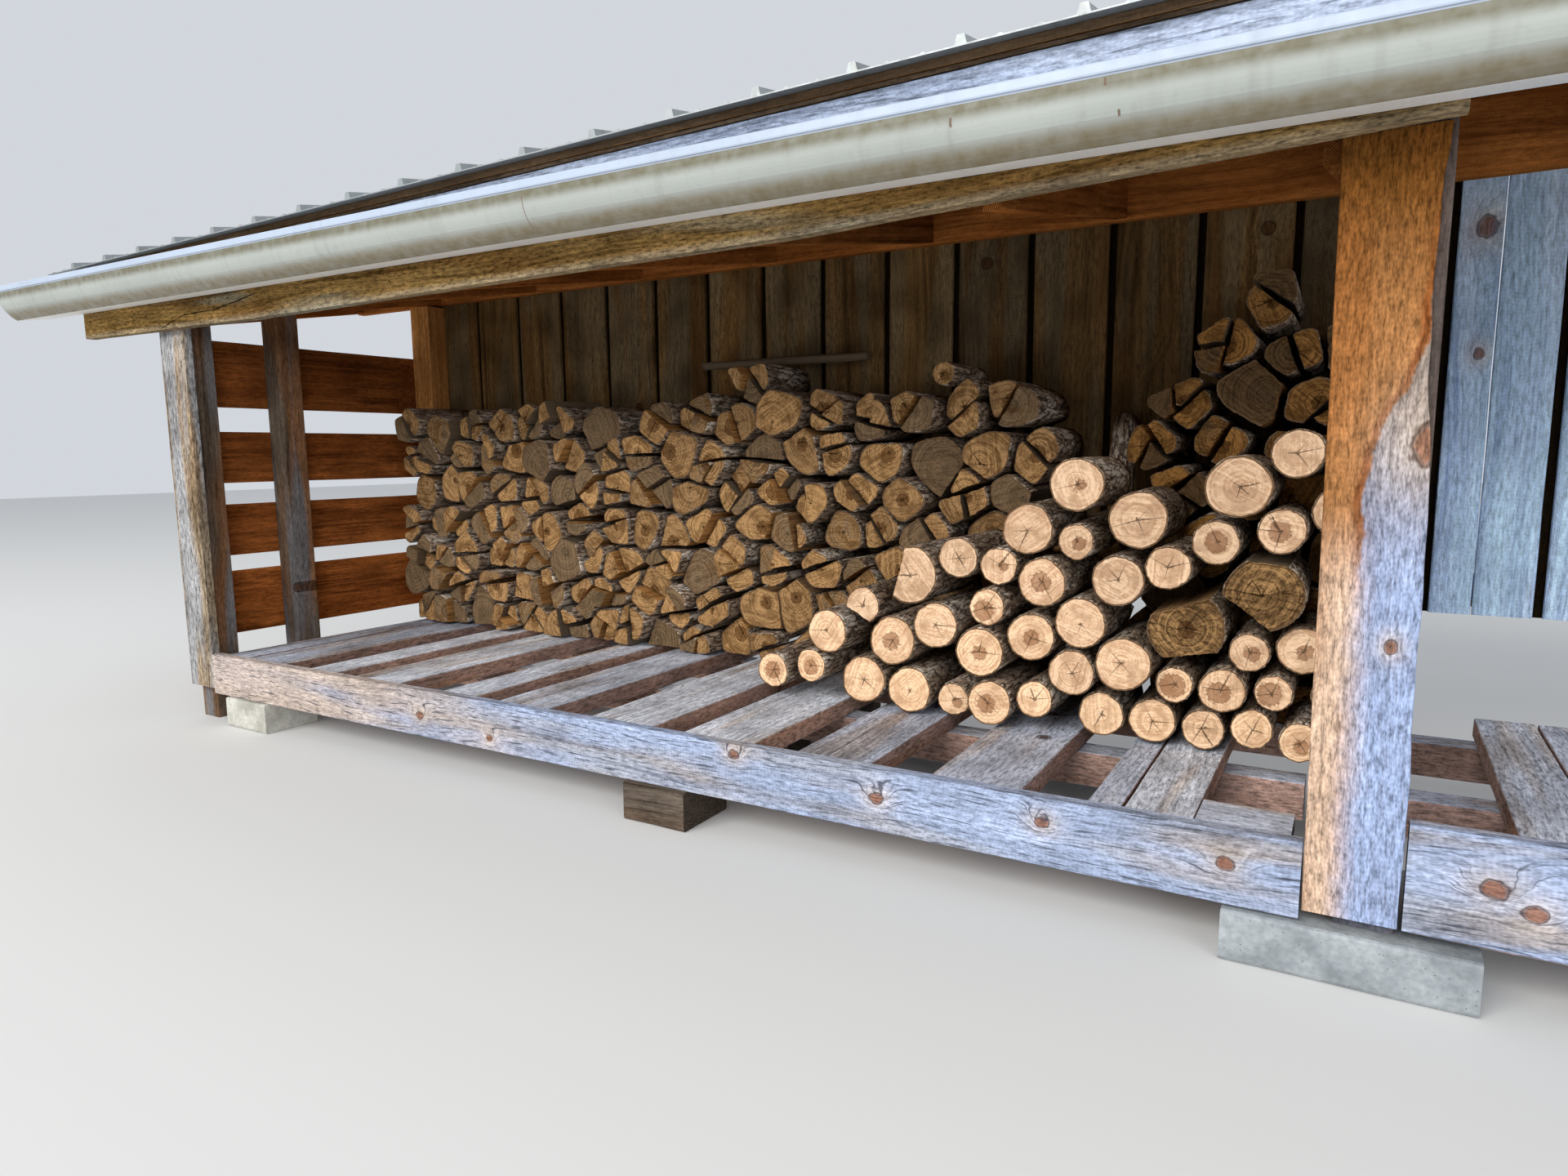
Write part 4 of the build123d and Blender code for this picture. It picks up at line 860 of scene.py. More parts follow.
# ------------------------------------------------------------ firewood data, in mm
# round logs in the front pile: x, z, radius, front depth, back depth, and for a
# split log its flat faces
round_logs = (
    (-113.7, 311.1, 51.4, 522, 785), (-975.1, 311.5, 50.5, 522, 845),
    (-326.4, 314.9, 55.2, 522, 785), (-445.9, 321.4, 61.7, 522, 785),
    (-572.3, 321.9, 62.0, 522, 785), (-856.9, 325.8, 65.8, 477, 845),
    (-1097.1, 330.2, 70.5, 495, 845), (-217.8, 332.8, 51.9, 513, 785),
    (-11.1, 335.0, 50.9, 495, 785), (-1546.8, 340.6, 58.0, 486, 845),
    (-1243.0, 342.9, 72.6, 495, 845), (-736.8, 349.0, 53.4, 486, 845),
    (-1417.8, 367.0, 54.2, 495, 845), (-395.8, 423.3, 49.0, 504, 785),
    (-285.6, 423.4, 58.1, 495, 785), (-56.0, 425.3, 46.5, 522, 785),
    (-176.0, 426.0, 46.7, 513, 785), (-645.3, 428.6, 64.8, 495, 785),
    (-887.0, 462.1, 71.3, 477, 845), (-1148.0, 468.1, 73.8, 486, 845),
    (-510.9, 470.8, 72.1, 459, 785), (-1345.7, 482.3, 68.3, 468, 845),
    (-753.5, 512.9, 68.4, 495, 845), (-10.0, 513.7, 49.8, 513, 785),
    (-232.1, 519.9, 49.6, 504, 785), (-1014.6, 525.1, 68.2, 477, 845),
    (-120.7, 533.3, 59.6, 513, 785), (-1242.6, 562.8, 57.1, 486, 845, (-0.5, -0.866, 0.55)),
    (-621.9, 563.6, 69.7, 477, 785), (-371.6, 568.1, 94.7, 486, 785, (-0.35, 0.937, 0.62), (0.2, -0.98, 0.72)),
    (-865.3, 588.3, 53.3, 468, 845), (-41.0, 625.0, 58.6, 513, 785),
    (-1097.3, 659.2, 86.2, 486, 845, (-0.97, 0.24, 0.42)), (-206.6, 662.6, 92.3, 468, 785, (-0.6, -0.8, 0.62), (0.1, 0.995, 0.86)),
    (-721.1, 662.9, 67.8, 468, 845), (-536.4, 675.7, 68.2, 486, 785),
    (-841.9, 696.9, 54.5, 486, 845), (-958.2, 713.6, 59.8, 495, 845),
    (-414.2, 717.5, 57.7, 459, 785), (-18.0, 742.4, 57.8, 513, 785),
    (-641.9, 769.3, 49.9, 486, 785), (-313.7, 780.8, 57.6, 477, 785),
    (-763.1, 798.2, 70.5, 477, 845), (-176.5, 811.8, 56.7, 477, 785),
    (-494.6, 828.2, 76.0, 495, 785), (-63.0, 857.0, 62.1, 513, 785),
    (-270.4, 911.9, 77.1, 459, 785), (-638.4, 915.0, 71.8, 459, 785),
    (-25.6, 982.3, 65.4, 513, 785), (-153.0, 988.1, 59.5, 468, 785),
)
deck_top = 258.0
# split wood, stacked with its cut ends to the front. Each stack: seed, least
# and greatest x of a piece's middle, least and greatest x of any wood, height of
# its top along x, front depth and back depth.
stack_gap = 4.0
stack_pitch = 168.0
stack_step = 9.0            # the cut ends stand at one of seven depths
back_stack = (11, -3715.0, -640.0, -3765.0, -613.0,
              ((-3730.0, 1205.0), (-3635.0, 1253.0), (-3202.0, 1240.0), (-2700.0, 1150.0),
               (-2520.0, 1112.0), (-2304.0, 1168.0), (-2063.0, 1190.0), (-1973.0, 1292.0),
               (-1614.0, 1215.0), (-1400.0, 1235.0), (-1167.0, 1275.0), (-850.0, 1230.0),
               (-812.0, 1110.0), (-800.0, 880.0), (-613.0, 860.0)),
              900.0, 1212.0)
tall_stack = (23, -545.0, 40.0, -603.0, 104.0,
              ((-560.0, 990.0), (-540.0, 1110.0), (-511.0, 1190.0), (-440.0, 1280.0), (-378.0, 1350.0),
               (-323.0, 1420.0), (-220.0, 1410.0), (-121.0, 1390.0), (52.0, 1350.0)),
              832.0, 1212.0)
stick = (-2228.0, -1528.0, 17.0, 1120.0)             # from x, to x, radius, depth
top_log = (-1169.0, 40.0, 905.0, 1205.0)             # x, radius, front and back depth
leaning_log = (-640.0, 960.0, -668.0, 1168.0, 225.0, 41.0)   # foot x and depth, head x and depth, rise, radius


def cut(polygon, a, b, c):
    """The part of a convex polygon where a*x + b*z <= c."""
    kept = []
    for i, (x0, z0) in enumerate(polygon):
        x1, z1 = polygon[(i + 1) % len(polygon)]
        s0, s1 = a * x0 + b * z0 - c, a * x1 + b * z1 - c
        if s0 <= 0:
            kept.append((x0, z0))
        if (s0 < 0 < s1) or (s1 < 0 < s0):
            t = s0 / (s0 - s1)
            kept.append((x0 + t * (x1 - x0), z0 + t * (z1 - z0)))
    return kept


def measure(polygon):
    """Area and middle of a polygon."""
    area = mx = mz = 0.0
    for i, (x0, z0) in enumerate(polygon):
        x1, z1 = polygon[(i + 1) % len(polygon)]
        cross = x0 * z1 - x1 * z0
        area += cross / 2
        mx += (x0 + x1) * cross / 6
        mz += (z0 + z1) * cross / 6
    return abs(area), mx / area, mz / area


def side_lines(polygon):
    """Its sides as (a, b, c), with a*x + b*z <= c inside."""
    _, mx, mz = measure(polygon)
    sides = []
    for i, (x0, z0) in enumerate(polygon):
        x1, z1 = polygon[(i + 1) % len(polygon)]
        length = hypot(x1 - x0, z1 - z0)
        if length < 0.5:
            continue
        a, b = (z1 - z0) / length, -(x1 - x0) / length
        if a * mx + b * mz > a * x0 + b * z0:
            a, b = -a, -b
        sides.append((a, b, a * x0 + b * z0))
    return sides


def top_at(profile, x):
    for (x0, z0), (x1, z1) in zip(profile, profile[1:]):
        if x0 <= x <= x1:
            return z0 + (z1 - z0) * (x - x0) / (x1 - x0)
    return 0.0


def stacked(stack, around):
    """Split pieces of a stack, each as its outline in x and z, the middle of its
    growth rings, its front and back depth, and the lines of its split faces. The
    bark side is round and the split sides are straight."""
    seed, left, right, low_x, high_x, profile, front, back = stack
    dice = Random(seed)
    floor = deck_top + 1.0
    highest = max(z for _, z in profile) + 60.0
    seeds = []
    row, z = 0, floor + 0.35 * stack_pitch
    while z < 1560.0:
        x = left - 1.5 * stack_pitch + (row % 2) * stack_pitch / 2
        while x < right + 2.0 * stack_pitch:
            seeds.append((x + (dice.random() - 0.5) * 0.62 * stack_pitch, z + (dice.random() - 0.5) * 0.46 * stack_pitch))
            x += stack_pitch
        row += 1
        z += 0.80 * stack_pitch
    pieces = []
    for i, (sx, sz) in enumerate(seeds):
        cell = [(low_x, floor), (high_x, floor), (high_x, highest), (low_x, highest)]
        for j, (ox, oz) in enumerate(seeds):
            if i != j and abs(ox - sx) < 3 * stack_pitch and abs(oz - sz) < 3 * stack_pitch:
                cell = cut(cell, ox - sx, oz - sz, (ox * ox + oz * oz - sx * sx - sz * sz) / 2)
                if len(cell) < 3:
                    break
        kind, turn, shift, second = dice.random(), dice.random(), dice.random(), dice.random()
        if len(cell) < 3:
            continue
        area, mx, mz = measure(cell)
        if area < 2500 or not left <= mx <= right or mz > top_at(profile, mx) - 12.0:
            continue
        parts = [(cell, [])]
        if kind > 0.30:
            # a log split in two or three, the pieces put back side by side
            a, b = cos(pi * turn), sin(pi * turn)
            c = a * mx + b * mz + (shift - 0.5) * 44.0
            parts = [(cut(cell, a, b, c), [(a, b, c)]), (cut(cell, -a, -b, -c), [(-a, -b, -c)])]
            if kind > 0.62:
                parts.sort(key=lambda q: measure(q[0])[0])
                half, split = parts.pop()
                _, hx, hz = measure(half)
                lean = pi * turn + pi / 2 + (second - 0.5) * 1.5
                a, b = cos(lean), sin(lean)
                c = a * hx + b * hz
                parts += [(cut(half, a, b, c), split + [(a, b, c)]), (cut(half, -a, -b, -c), split + [(-a, -b, -c)])]
        elif kind > 0.07:
            # one piece with one, two or three of its sides split
            sides = side_lines(cell)
            first = int(turn * len(sides))
            chosen = [sides[(first + k) % len(sides)] for k in range(1 + int(second * 2.6))]
            parts = [(cell, chosen)]
            sa, sb = sum(s[0] for s in chosen), sum(s[1] for s in chosen)
            size = hypot(sa, sb) + 1e-6
            mx, mz = mx + 42.0 * sa / size, mz + 42.0 * sb / size
        for part, splits in parts:
            depth = front + stack_step * (int(dice.random() * 7) - 3)
            twist = (dice.random() - 0.5) * 0.26
            if len(part) < 3 or measure(part)[0] < 2000:
                continue
            area, px, pz = measure(part)
            bark = [s for s in side_lines(part) if all(abs(s[0] - t[0]) + abs(s[1] - t[1]) > 1e-4 for t in splits)]
            widest = 1.45 * (area / pi) ** 0.5 if splits else 1.06 * (area / pi) ** 0.5
            outline = []
            for k in range(around):
                ca, sa = cos(2 * pi * k / around), sin(2 * pi * k / around)
                total = widest ** -7
                for a, b, c in bark:
                    if a * ca + b * sa > 0.02:
                        total += ((a * ca + b * sa) / (c - a * px - b * pz)) ** 7
                r = total ** (-1.0 / 7)
                outline.append((px + r * ca, pz + r * sa))
            for a, b, c in splits:
                outline = cut(outline, a, b, c)
            # turned a little, then made small enough to clear its neighbours
            ct, st = cos(twist), sin(twist)
            scale = 1.0
            for a, b, c in side_lines(part):
                reach = max(a * (ct * (x - px) - st * (z - pz)) + b * (st * (x - px) + ct * (z - pz)) for x, z in outline)
                scale = min(scale, (c - a * px - b * pz - stack_gap / 2) / reach)
            ct, st = ct * scale, st * scale
            placed = [(px + ct * (x - px) - st * (z - pz), pz + st * (x - px) + ct * (z - pz)) for x, z in outline]
            pith = (px + ct * (mx - px) - st * (mz - pz), pz + st * (mx - px) + ct * (mz - pz))
            faces = [((a * ct - b * st) / scale, (a * st + b * ct) / scale, (c - a * px - b * pz) * scale) for a, b, c in splits]
            faces = [(a, b, c + a * px + b * pz) for a, b, c in faces]
            pieces.append((placed, pith, depth, back, faces))
    return pieces


def highest_in(pieces, low, high):
    """Top of the wood between two places along the front."""
    return max(z for piece in pieces for x, z in piece[0] if low <= x <= high)


# ------------------------------------------------------------ firewood
def log_end(name, pale, deep, heart, grey, weather):
    """Sawn end of a log. lp holds metres from the middle of the growth rings and
    along the log, rnd three numbers for each log, rim 1 at the outside, bark 1
    where the outside is bark."""
    w = Tree(name)
    x, z, y = w.split(w.attr("lp"))
    s1, s2, s3 = w.split(w.attr("rnd"))
    tone, rim, bark = w.attr("tone", "Fac"), w.attr("rim", "Fac"), w.attr("bark", "Fac")
    seeded = w.join(w.math("ADD", x, s1), w.math("SUBTRACT", z, s1), s1)
    hx = w.math("ADD", x, w.math("MULTIPLY", w.math("SUBTRACT", s3, 0.5), 0.016))
    hz = w.math("ADD", z, w.math("MULTIPLY", w.math("SUBTRACT", s2, 0.5), 0.016))
    r = w.math("SQRT", w.math("ADD", w.math("POWER", x, 2.0), w.math("POWER", z, 2.0)))
    cloud = w.noise(seeded, 20.0, 2.0, 0.6)
    fine = w.noise(seeded, 130.0, 2.0, 0.75)
    rr = w.math("ADD", r, w.math("MULTIPLY", cloud, 0.012))
    rings = w.noise(w.join(w.math("MULTIPLY", rr, 210.0), s1, w.math("MULTIPLY", rr, 3.0)), 1.0, 2.0, 0.5)
    # saw marks straight across
    ca, sa = w.math("COSINE", w.math("MULTIPLY", s1, 3.0)), w.math("SINE", w.math("MULTIPLY", s1, 3.0))
    q = w.math("ADD", w.math("MULTIPLY", x, ca), w.math("MULTIPLY", z, sa))
    saw = w.noise(w.join(w.math("MULTIPLY", q, 190.0), w.math("MULTIPLY", x, 9.0), s1), 1.0, 2.0, 0.6)
    shade = w.math("ADD", w.math("MULTIPLY", rings, 0.38), w.math("ADD", w.math("MULTIPLY", saw, 0.34), w.math("MULTIPLY", fine, 0.28)))
    base = w.mix(w.fit(shade, 0.38, 0.60, smooth=True), deep, pale)
    base = w.mix(w.math("MULTIPLY", w.fit(cloud, 0.46, 0.66, smooth=True), 0.6), base, tuple(c * 0.8 for c in deep))
    # heart
    hr = w.math("SQRT", w.math("ADD", w.math("POWER", hx, 2.0), w.math("POWER", hz, 2.0)))
    hr = w.math("ADD", hr, w.math("MULTIPLY", w.math("SUBTRACT", fine, 0.5), 0.022))
    size = w.math("ADD", 0.012, w.math("MULTIPLY", s3, 0.018))
    has = w.math("GREATER_THAN", s2, 0.42)
    d = w.math("SUBTRACT", size, hr)
    inside = w.math("MULTIPLY", w.fit(d, -0.0015, 0.0015, smooth=True), has)
    edge = w.math("MULTIPLY", w.fit(w.math("ABSOLUTE", d), 0.003, 0.0006, smooth=True), has)
    base = w.mix(w.math("MULTIPLY", inside, 0.72), base, w.mix(shade, tuple(c * 0.6 for c in heart), heart))
    base = w.mix(w.math("MULTIPLY", edge, 0.45), base, tuple(c * 0.45 for c in heart))
    # cracks from the middle outwards
    turn = w.t.nodes.new("ShaderNodeMath")
    turn.operation = "ARCTAN2"
    w.put(turn.inputs[0], z)
    w.put(turn.inputs[1], x)
    inv = w.math("DIVIDE", 1.0, w.math("MAXIMUM", r, 0.0005))
    ux, uz = w.math("MULTIPLY", x, inv), w.math("MULTIPLY", z, inv)
    bend = w.noise(w.join(ux, uz, s1), 0.9, 1.0, 0.5)
    wave = w.math("ADD", w.math("MULTIPLY", turn.outputs[0], 3.0), w.math("ADD", w.math("MULTIPLY", bend, 5.0), w.math("MULTIPLY", fine, 0.55)))
    away = w.math("MULTIPLY", w.math("ABSOLUTE", w.math("SINE", wave)), w.math("DIVIDE", r, 3.0))
    long = w.math("MULTIPLY", w.fit(w.noise(w.join(ux, uz, w.math("ADD", s1, 7.0)), 1.6, 1.0, 0.5), 0.40, 0.66), 0.075)
    thick = w.math("MULTIPLY", w.math("SUBTRACT", 1.0, w.math("DIVIDE", r, w.math("MAXIMUM", long, 0.004))), 0.0016)
    crack = w.fit(w.math("SUBTRACT", away, thick), 0.0005, -0.0003, smooth=True)
    base = w.mix(w.math("MULTIPLY", crack, 0.85), base, tuple(c * 0.16 for c in deep))
    # weathered and dirty ends
    old = w.math("MULTIPLY", w.fit(w.math("ADD", tone, w.math("MULTIPLY", w.math("SUBTRACT", cloud, 0.5), 0.5)), weather + 0.06, weather - 0.12, smooth=True), 0.75)
    base = w.mix(old, base, w.mix(w.fit(shade, 0.40, 0.60), tuple(c * 0.45 for c in grey), tuple(min(1.0, c * 1.15) for c in grey)))
    base = w.mix(1.0, base, w.ramp(tone, [(0.0, (0.70, 0.68, 0.66)), (0.45, (0.96, 0.95, 0.94)), (1.0, (1.20, 1.17, 1.10))]), "MULTIPLY")
    # thin bark round the outside
    skin = w.math("MULTIPLY", w.fit(rim, 0.935, 0.955, smooth=True), w.fit(bark, 0.35, 0.65))
    base = w.mix(skin, base, w.mix(fine, srgb(52, 38, 28), srgb(132, 104, 76)))
    return w.done(base, w.fit(fine, 0.3, 0.7, 0.72, 0.9), w.bump(fine, 0.8, 0.003), specular=0.0)


def log_bark(name, dark, plate, flake):
    w = Tree(name)
    x, z, y = w.split(w.attr("lp"))
    s1, s2, s3 = w.split(w.attr("rnd"))
    p = w.join(w.math("ADD", w.math("MULTIPLY", x, 62.0), w.math("MULTIPLY", s1, 5.0)), w.math("MULTIPLY", z, 62.0), w.math("MULTIPLY", y, 17.0))
    n = w.noise(p, 1.6, 3.0, 0.75)
    p2 = w.vmath("ADD", p, w.vmath("SCALE", w.join(n, n, n), scale=1.6))
    ridge = w.noise(p2, 0.75, 1.0, 0.5)
    fissure = w.fit(w.math("ABSOLUTE", w.math("SUBTRACT", ridge, 0.5)), 0.050, 0.008, smooth=True)
    big = w.noise(p, 0.22, 2.0, 0.6)
    base = w.mix(w.fit(n, 0.34, 0.62, smooth=True), dark, plate)
    base = w.mix(w.math("MULTIPLY", w.fit(w.math("ADD", w.math("MULTIPLY", n, 0.5), w.math("MULTIPLY", big, 0.6)), 0.55, 0.66, smooth=True), 0.8), base, flake)
    base = w.mix(w.math("MULTIPLY", fissure, 0.8), base, tuple(c * 0.28 for c in dark))
    base = w.mix(1.0, base, w.ramp(s2, [(0.0, (0.75, 0.72, 0.70)), (1.0, (1.25, 1.20, 1.16))]), "MULTIPLY")
    h = w.math("ADD", w.math("MULTIPLY", n, 0.7), w.math("MULTIPLY", fissure, -0.9))
    return w.done(base, 0.92, w.bump(h, 1.0, 0.006), specular=0.0)


def log_split(name, pale, deep, grey):
    w = Tree(name)
    x, z, y = w.split(w.attr("lp"))
    s1, s2, s3 = w.split(w.attr("rnd"))
    tone = w.attr("tone", "Fac")
    fibre = w.noise(w.join(w.math("ADD", w.math("MULTIPLY", x, 260.0), s1), w.math("MULTIPLY", z, 260.0), w.math("MULTIPLY", y, 6.0)), 1.0, 3.0, 0.65)
    band = w.noise(w.join(w.math("ADD", w.math("MULTIPLY", x, 40.0), s1), w.math("MULTIPLY", z, 40.0), w.math("MULTIPLY", y, 3.0)), 1.0, 3.0, 0.5)
    m = w.math("ADD", w.math("MULTIPLY", fibre, 0.6), w.math("MULTIPLY", band, 0.4))
    base = w.mix(w.fit(m, 0.36, 0.62, smooth=True), deep, pale)
    base = w.mix(w.fit(s3, 0.62, 0.35), base, w.mix(m, tuple(c * 0.5 for c in grey), tuple(min(1, c * 1.25) for c in grey)))
    base = w.mix(1.0, base, w.ramp(tone, [(0.0, (0.75, 0.74, 0.72)), (1.0, (1.15, 1.12, 1.06))]), "MULTIPLY")
    return w.done(base, 0.85, w.bump(fibre, 0.9, 0.004), specular=0.0)


M_END_PILE = log_end("log_end_pile", srgb(234, 202, 170), srgb(188, 150, 118), srgb(154, 108, 76), srgb(168, 150, 134), 0.18)
M_END_STACK = log_end("log_end_stack", srgb(174, 138, 96), srgb(104, 76, 46), srgb(96, 64, 36), srgb(128, 110, 88), 0.28)
# darker than the back stack's ends: painted shade in the upper back of the store
M_END_TALL = log_end("log_end_tall_painted_shade", srgb(146, 106, 60), srgb(84, 57, 30), srgb(76, 50, 26), srgb(92, 76, 58), 0.30)
M_TORN = log_end("log_end_torn", srgb(172, 136, 92), srgb(84, 62, 40), srgb(96, 66, 40), srgb(120, 104, 82), 0.10)
M_BARK = log_bark("log_bark", srgb(104, 88, 74), srgb(168, 150, 132), srgb(212, 204, 192))
M_SPLIT = log_split("log_split_face", srgb(190, 142, 88), srgb(114, 76, 42), srgb(112, 98, 82))


class Logs:
    """Collects logs and split pieces and makes one object of them."""

    def __init__(self, name):
        self.name = name
        self.v, self.lp, self.rnd, self.tone, self.rim, self.bark = [], [], [], [], [], []
        self.f, self.m, self.s = [], [], []
        self.count = 0

    def log(self, outline, pith, y0, y1, splits, rng, segment=11.0, stations=7, rings=(0.975, 0.95, 0.86, 0.68, 0.46, 0.22),
            slope=0.010, tone=None, tilt=0.05, place=None, rough=1.0, skin=1, end=0):
        # points round the outline, with the split sides marked
        P = []
        n = len(outline)
        for i in range(n):
            x0, z0 = outline[i]
            x1, z1 = outline[(i + 1) % n]
            length = hypot(x1 - x0, z1 - z0)
            if length < 0.05:
                continue
            mx, mz = (x0 + x1) / 2, (z0 + z1) / 2
            flat = any(abs(a * mx + b * mz - c) < 0.6 for a, b, c in splits)
            parts = max(1, int(length / segment + 0.5))
            for k in range(parts):
                t = k / parts
                P.append((x0 + (x1 - x0) * t, z0 + (z1 - z0) * t, flat))
        # drop points that crowd each other
        Q = []
        for q in P:
            if not Q or hypot(q[0] - Q[-1][0], q[1] - Q[-1][1]) > segment * 0.45 or q[2] != Q[-1][2]:
                Q.append(q)
        while len(Q) > 6 and hypot(Q[0][0] - Q[-1][0], Q[0][1] - Q[-1][1]) < segment * 0.3:
            Q.pop()
        N = len(Q)
        X = np.array([q[0] for q in Q])
        Z = np.array([q[1] for q in Q])
        flat = np.array([q[2] for q in Q])
        flat_here = flat & np.roll(flat, 1)
        area, cx, cz = measure([(q[0], q[1]) for q in Q])
        size = (area / pi) ** 0.5
        ux, uz = X - cx, Z - cz
        reach = np.maximum(np.hypot(ux, uz), 1.0)
        ux, uz = ux / reach, uz / reach
        theta = np.arctan2(uz, ux)
        seed = rng.random() * 60.0
        look = (seed, rng.random(), rng.random())
        if tone is None:
            tone = rng.random()
        ph = [rng.random() * 6.28 for _ in range(10)]
        tx, tz = (rng.random() - 0.5) * 2 * tilt, (rng.random() - 0.5) * 2 * tilt
        sx, sz = (rng.random() - 0.5) * 2 * slope, (rng.random() - 0.5) * 2 * slope
        lift = (abs(tx) + abs(tz)) * size
        noise = np.array([rng.random() for _ in range(N * (stations + 1))]).reshape(stations + 1, N)

        def pull(k, y):
            """How far the surface lies inside the outline, in mm."""
            wave = (0.5 + 0.5 * np.sin(3 * theta + ph[0] + y * 0.011)) * 1.3 + (0.5 + 0.5 * np.sin(7 * theta + ph[1] - y * 0.019)) * 1.1
            bark = wave + noise[k] * 2.4
            fibre = (0.5 + 0.5 * np.sin(11 * theta + ph[2])) * 1.4 + (0.5 + 0.5 * np.sin(23 * theta + ph[3] + y * 0.004)) * 1.2 + noise[0] * 1.8
            return np.where(flat_here, fibre, bark) * rough

        rows = []
        ys = [y0] + [y0 + (y1 - y0) * (0.03 + 0.97 * (k / (stations - 1)) ** 1.25) for k in range(stations)]
        ys[-1] = y1
        lp, rim, barkness, verts = [], [], [], []
        bark_flag = np.where(flat_here, 0.0, 1.0)

        def row(px, pz, py, rim_value):
            start = len(verts)
            for a, b, c in zip(px, pz, py):
                verts.append((a, b, c))
            for a, b, c, d_ in zip(px, pz, py, bark_flag if len(px) == N else [0.0]):
                lp.append(((a - pith[0]) * MM, (b - pith[1]) * MM, c * MM))
                rim.append(rim_value)
                barkness.append(d_)
            return start

        # sides
        starts = []
        for k, y in enumerate(ys):
            p_ = pull(min(k, stations), y)
            if k == 0:
                p_ = p_ + 1.4
            qx, qz = X - ux * p_ + sx * (y - y0), Z - uz * p_ + sz * (y - y0)
            depth = np.full(N, y)
            if k < 2:
                depth = y + lift + tx * (X - cx) + tz * (Z - cz)
            starts.append(row(qx, qz, depth, 1.0))
        faces, mats, smooth = [], [], []
        for a, b in zip(starts, starts[1:]):
            for i in range(N):
                j = (i + 1) % N
                faces.append([a + j, a + i, b + i, b + j])
                mats.append(2 if flat[i] else skin)
                smooth.append(not flat[i])
        # front end
        edge_x = np.array([verts[starts[0] + i][0] for i in range(N)])
        edge_z = np.array([verts[starts[0] + i][1] for i in range(N)])
        previous = starts[0]
        for s in rings:
            gx, gz = cx + (edge_x - cx) * s, cz + (edge_z - cz) * s
            relief = 0.5 * np.sin(gx * 0.16 + ph[4]) * np.sin(gz * 0.13 + ph[5]) + 0.35 * np.sin(theta * 5 + ph[6])
            if s > 0.96:
                relief = relief * 0 - 0.9
            elif end:
                # a torn end, in layers
                relief = relief + 3.2 + 3.0 * np.sin(gz * 0.33 + gx * 0.05 + ph[7]) + 1.6 * np.sin(gz * 0.71 + gx * 0.11 + ph[8])
            depth = y0 + lift + tx * (gx - cx) + tz * (gz - cz) + 0.9 + relief
            start = row(gx, gz, np.maximum(depth, y0), s)
            for i in range(N):
                j = (i + 1) % N
                faces.append([previous + i, previous + j, start + j, start + i])
                mats.append(end)
                smooth.append(False)
            previous = start
        mid = len(verts)
        verts.append((cx, cz, y0 + lift + 0.9))
        lp.append(((cx - pith[0]) * MM, (cz - pith[1]) * MM, y0 * MM))
        rim.append(0.0)
        barkness.append(0.0)
        for i in range(N):
            faces.append([previous + i, previous + (i + 1) % N, mid])
            mats.append(end)
            smooth.append(False)
        # back end
        mid = len(verts)
        verts.append((cx + sx * (y1 - y0), cz + sz * (y1 - y0), y1))
        lp.append(((cx - pith[0]) * MM, (cz - pith[1]) * MM, y1 * MM))
        rim.append(0.0)
        barkness.append(0.0)
        for i in range(N):
            faces.append([starts[-1] + (i + 1) % N, starts[-1] + i, mid])
            mats.append(0)
            smooth.append(False)
        V = np.array(verts)
        if place is None:
            W = np.column_stack([V[:, 0], V[:, 2], V[:, 1]])
            W[:, 1] += FRONT / MM
        else:
            origin, ax, az, ay = (np.array(q, float) for q in place)
            W = origin + V[:, :1] * ax + V[:, 1:2] * az + V[:, 2:3] * ay
        base = self.count
        self.count += len(V)
        self.v.append(W * MM)
        self.f += [[base + q for q in face] for face in faces]
        self.m += mats
        self.s += smooth
        self.lp.append(np.array(lp))
        self.rim.append(np.array(rim))
        self.bark.append(np.array(barkness))
        self.rnd.append(np.tile(np.array(look), (len(V), 1)))
        self.tone.append(np.full(len(V), tone))

    def build(self, materials, node):
        me = bpy.data.meshes.new(self.name)
        me.from_pydata(np.vstack(self.v).tolist(), [], self.f)
        for mat in materials:
            me.materials.append(mat)
        me.polygons.foreach_set("material_index", self.m)
        me.polygons.foreach_set("use_smooth", [bool(q) for q in self.s])
        for key, kind, data in (("lp", "FLOAT_VECTOR", np.vstack(self.lp)), ("rnd", "FLOAT_VECTOR", np.vstack(self.rnd)),
                                ("tone", "FLOAT", np.concatenate(self.tone)), ("rim", "FLOAT", np.concatenate(self.rim)),
                                ("bark", "FLOAT", np.concatenate(self.bark))):
            a = me.attributes.new(key, kind, "POINT")
            a.data.foreach_set("vector" if kind == "FLOAT_VECTOR" else "value", data.ravel())
        me.validate()
        me.update()
        o = bpy.data.objects.new(self.name, me)
        bpy.context.scene.collection.objects.link(o)
        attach(o, "root")
        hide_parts(node)
        return o


def pole(radius, rng, around=20):
    """Outline of a thin round log about its own middle, never over its radius."""
    ph = rng.random() * 6.28
    return [(radius * (0.985 + 0.015 * cos(3 * t + ph)) * cos(t), radius * (0.985 + 0.015 * cos(3 * t + ph)) * sin(t))
            for t in (2 * pi * k / around for k in range(around))]


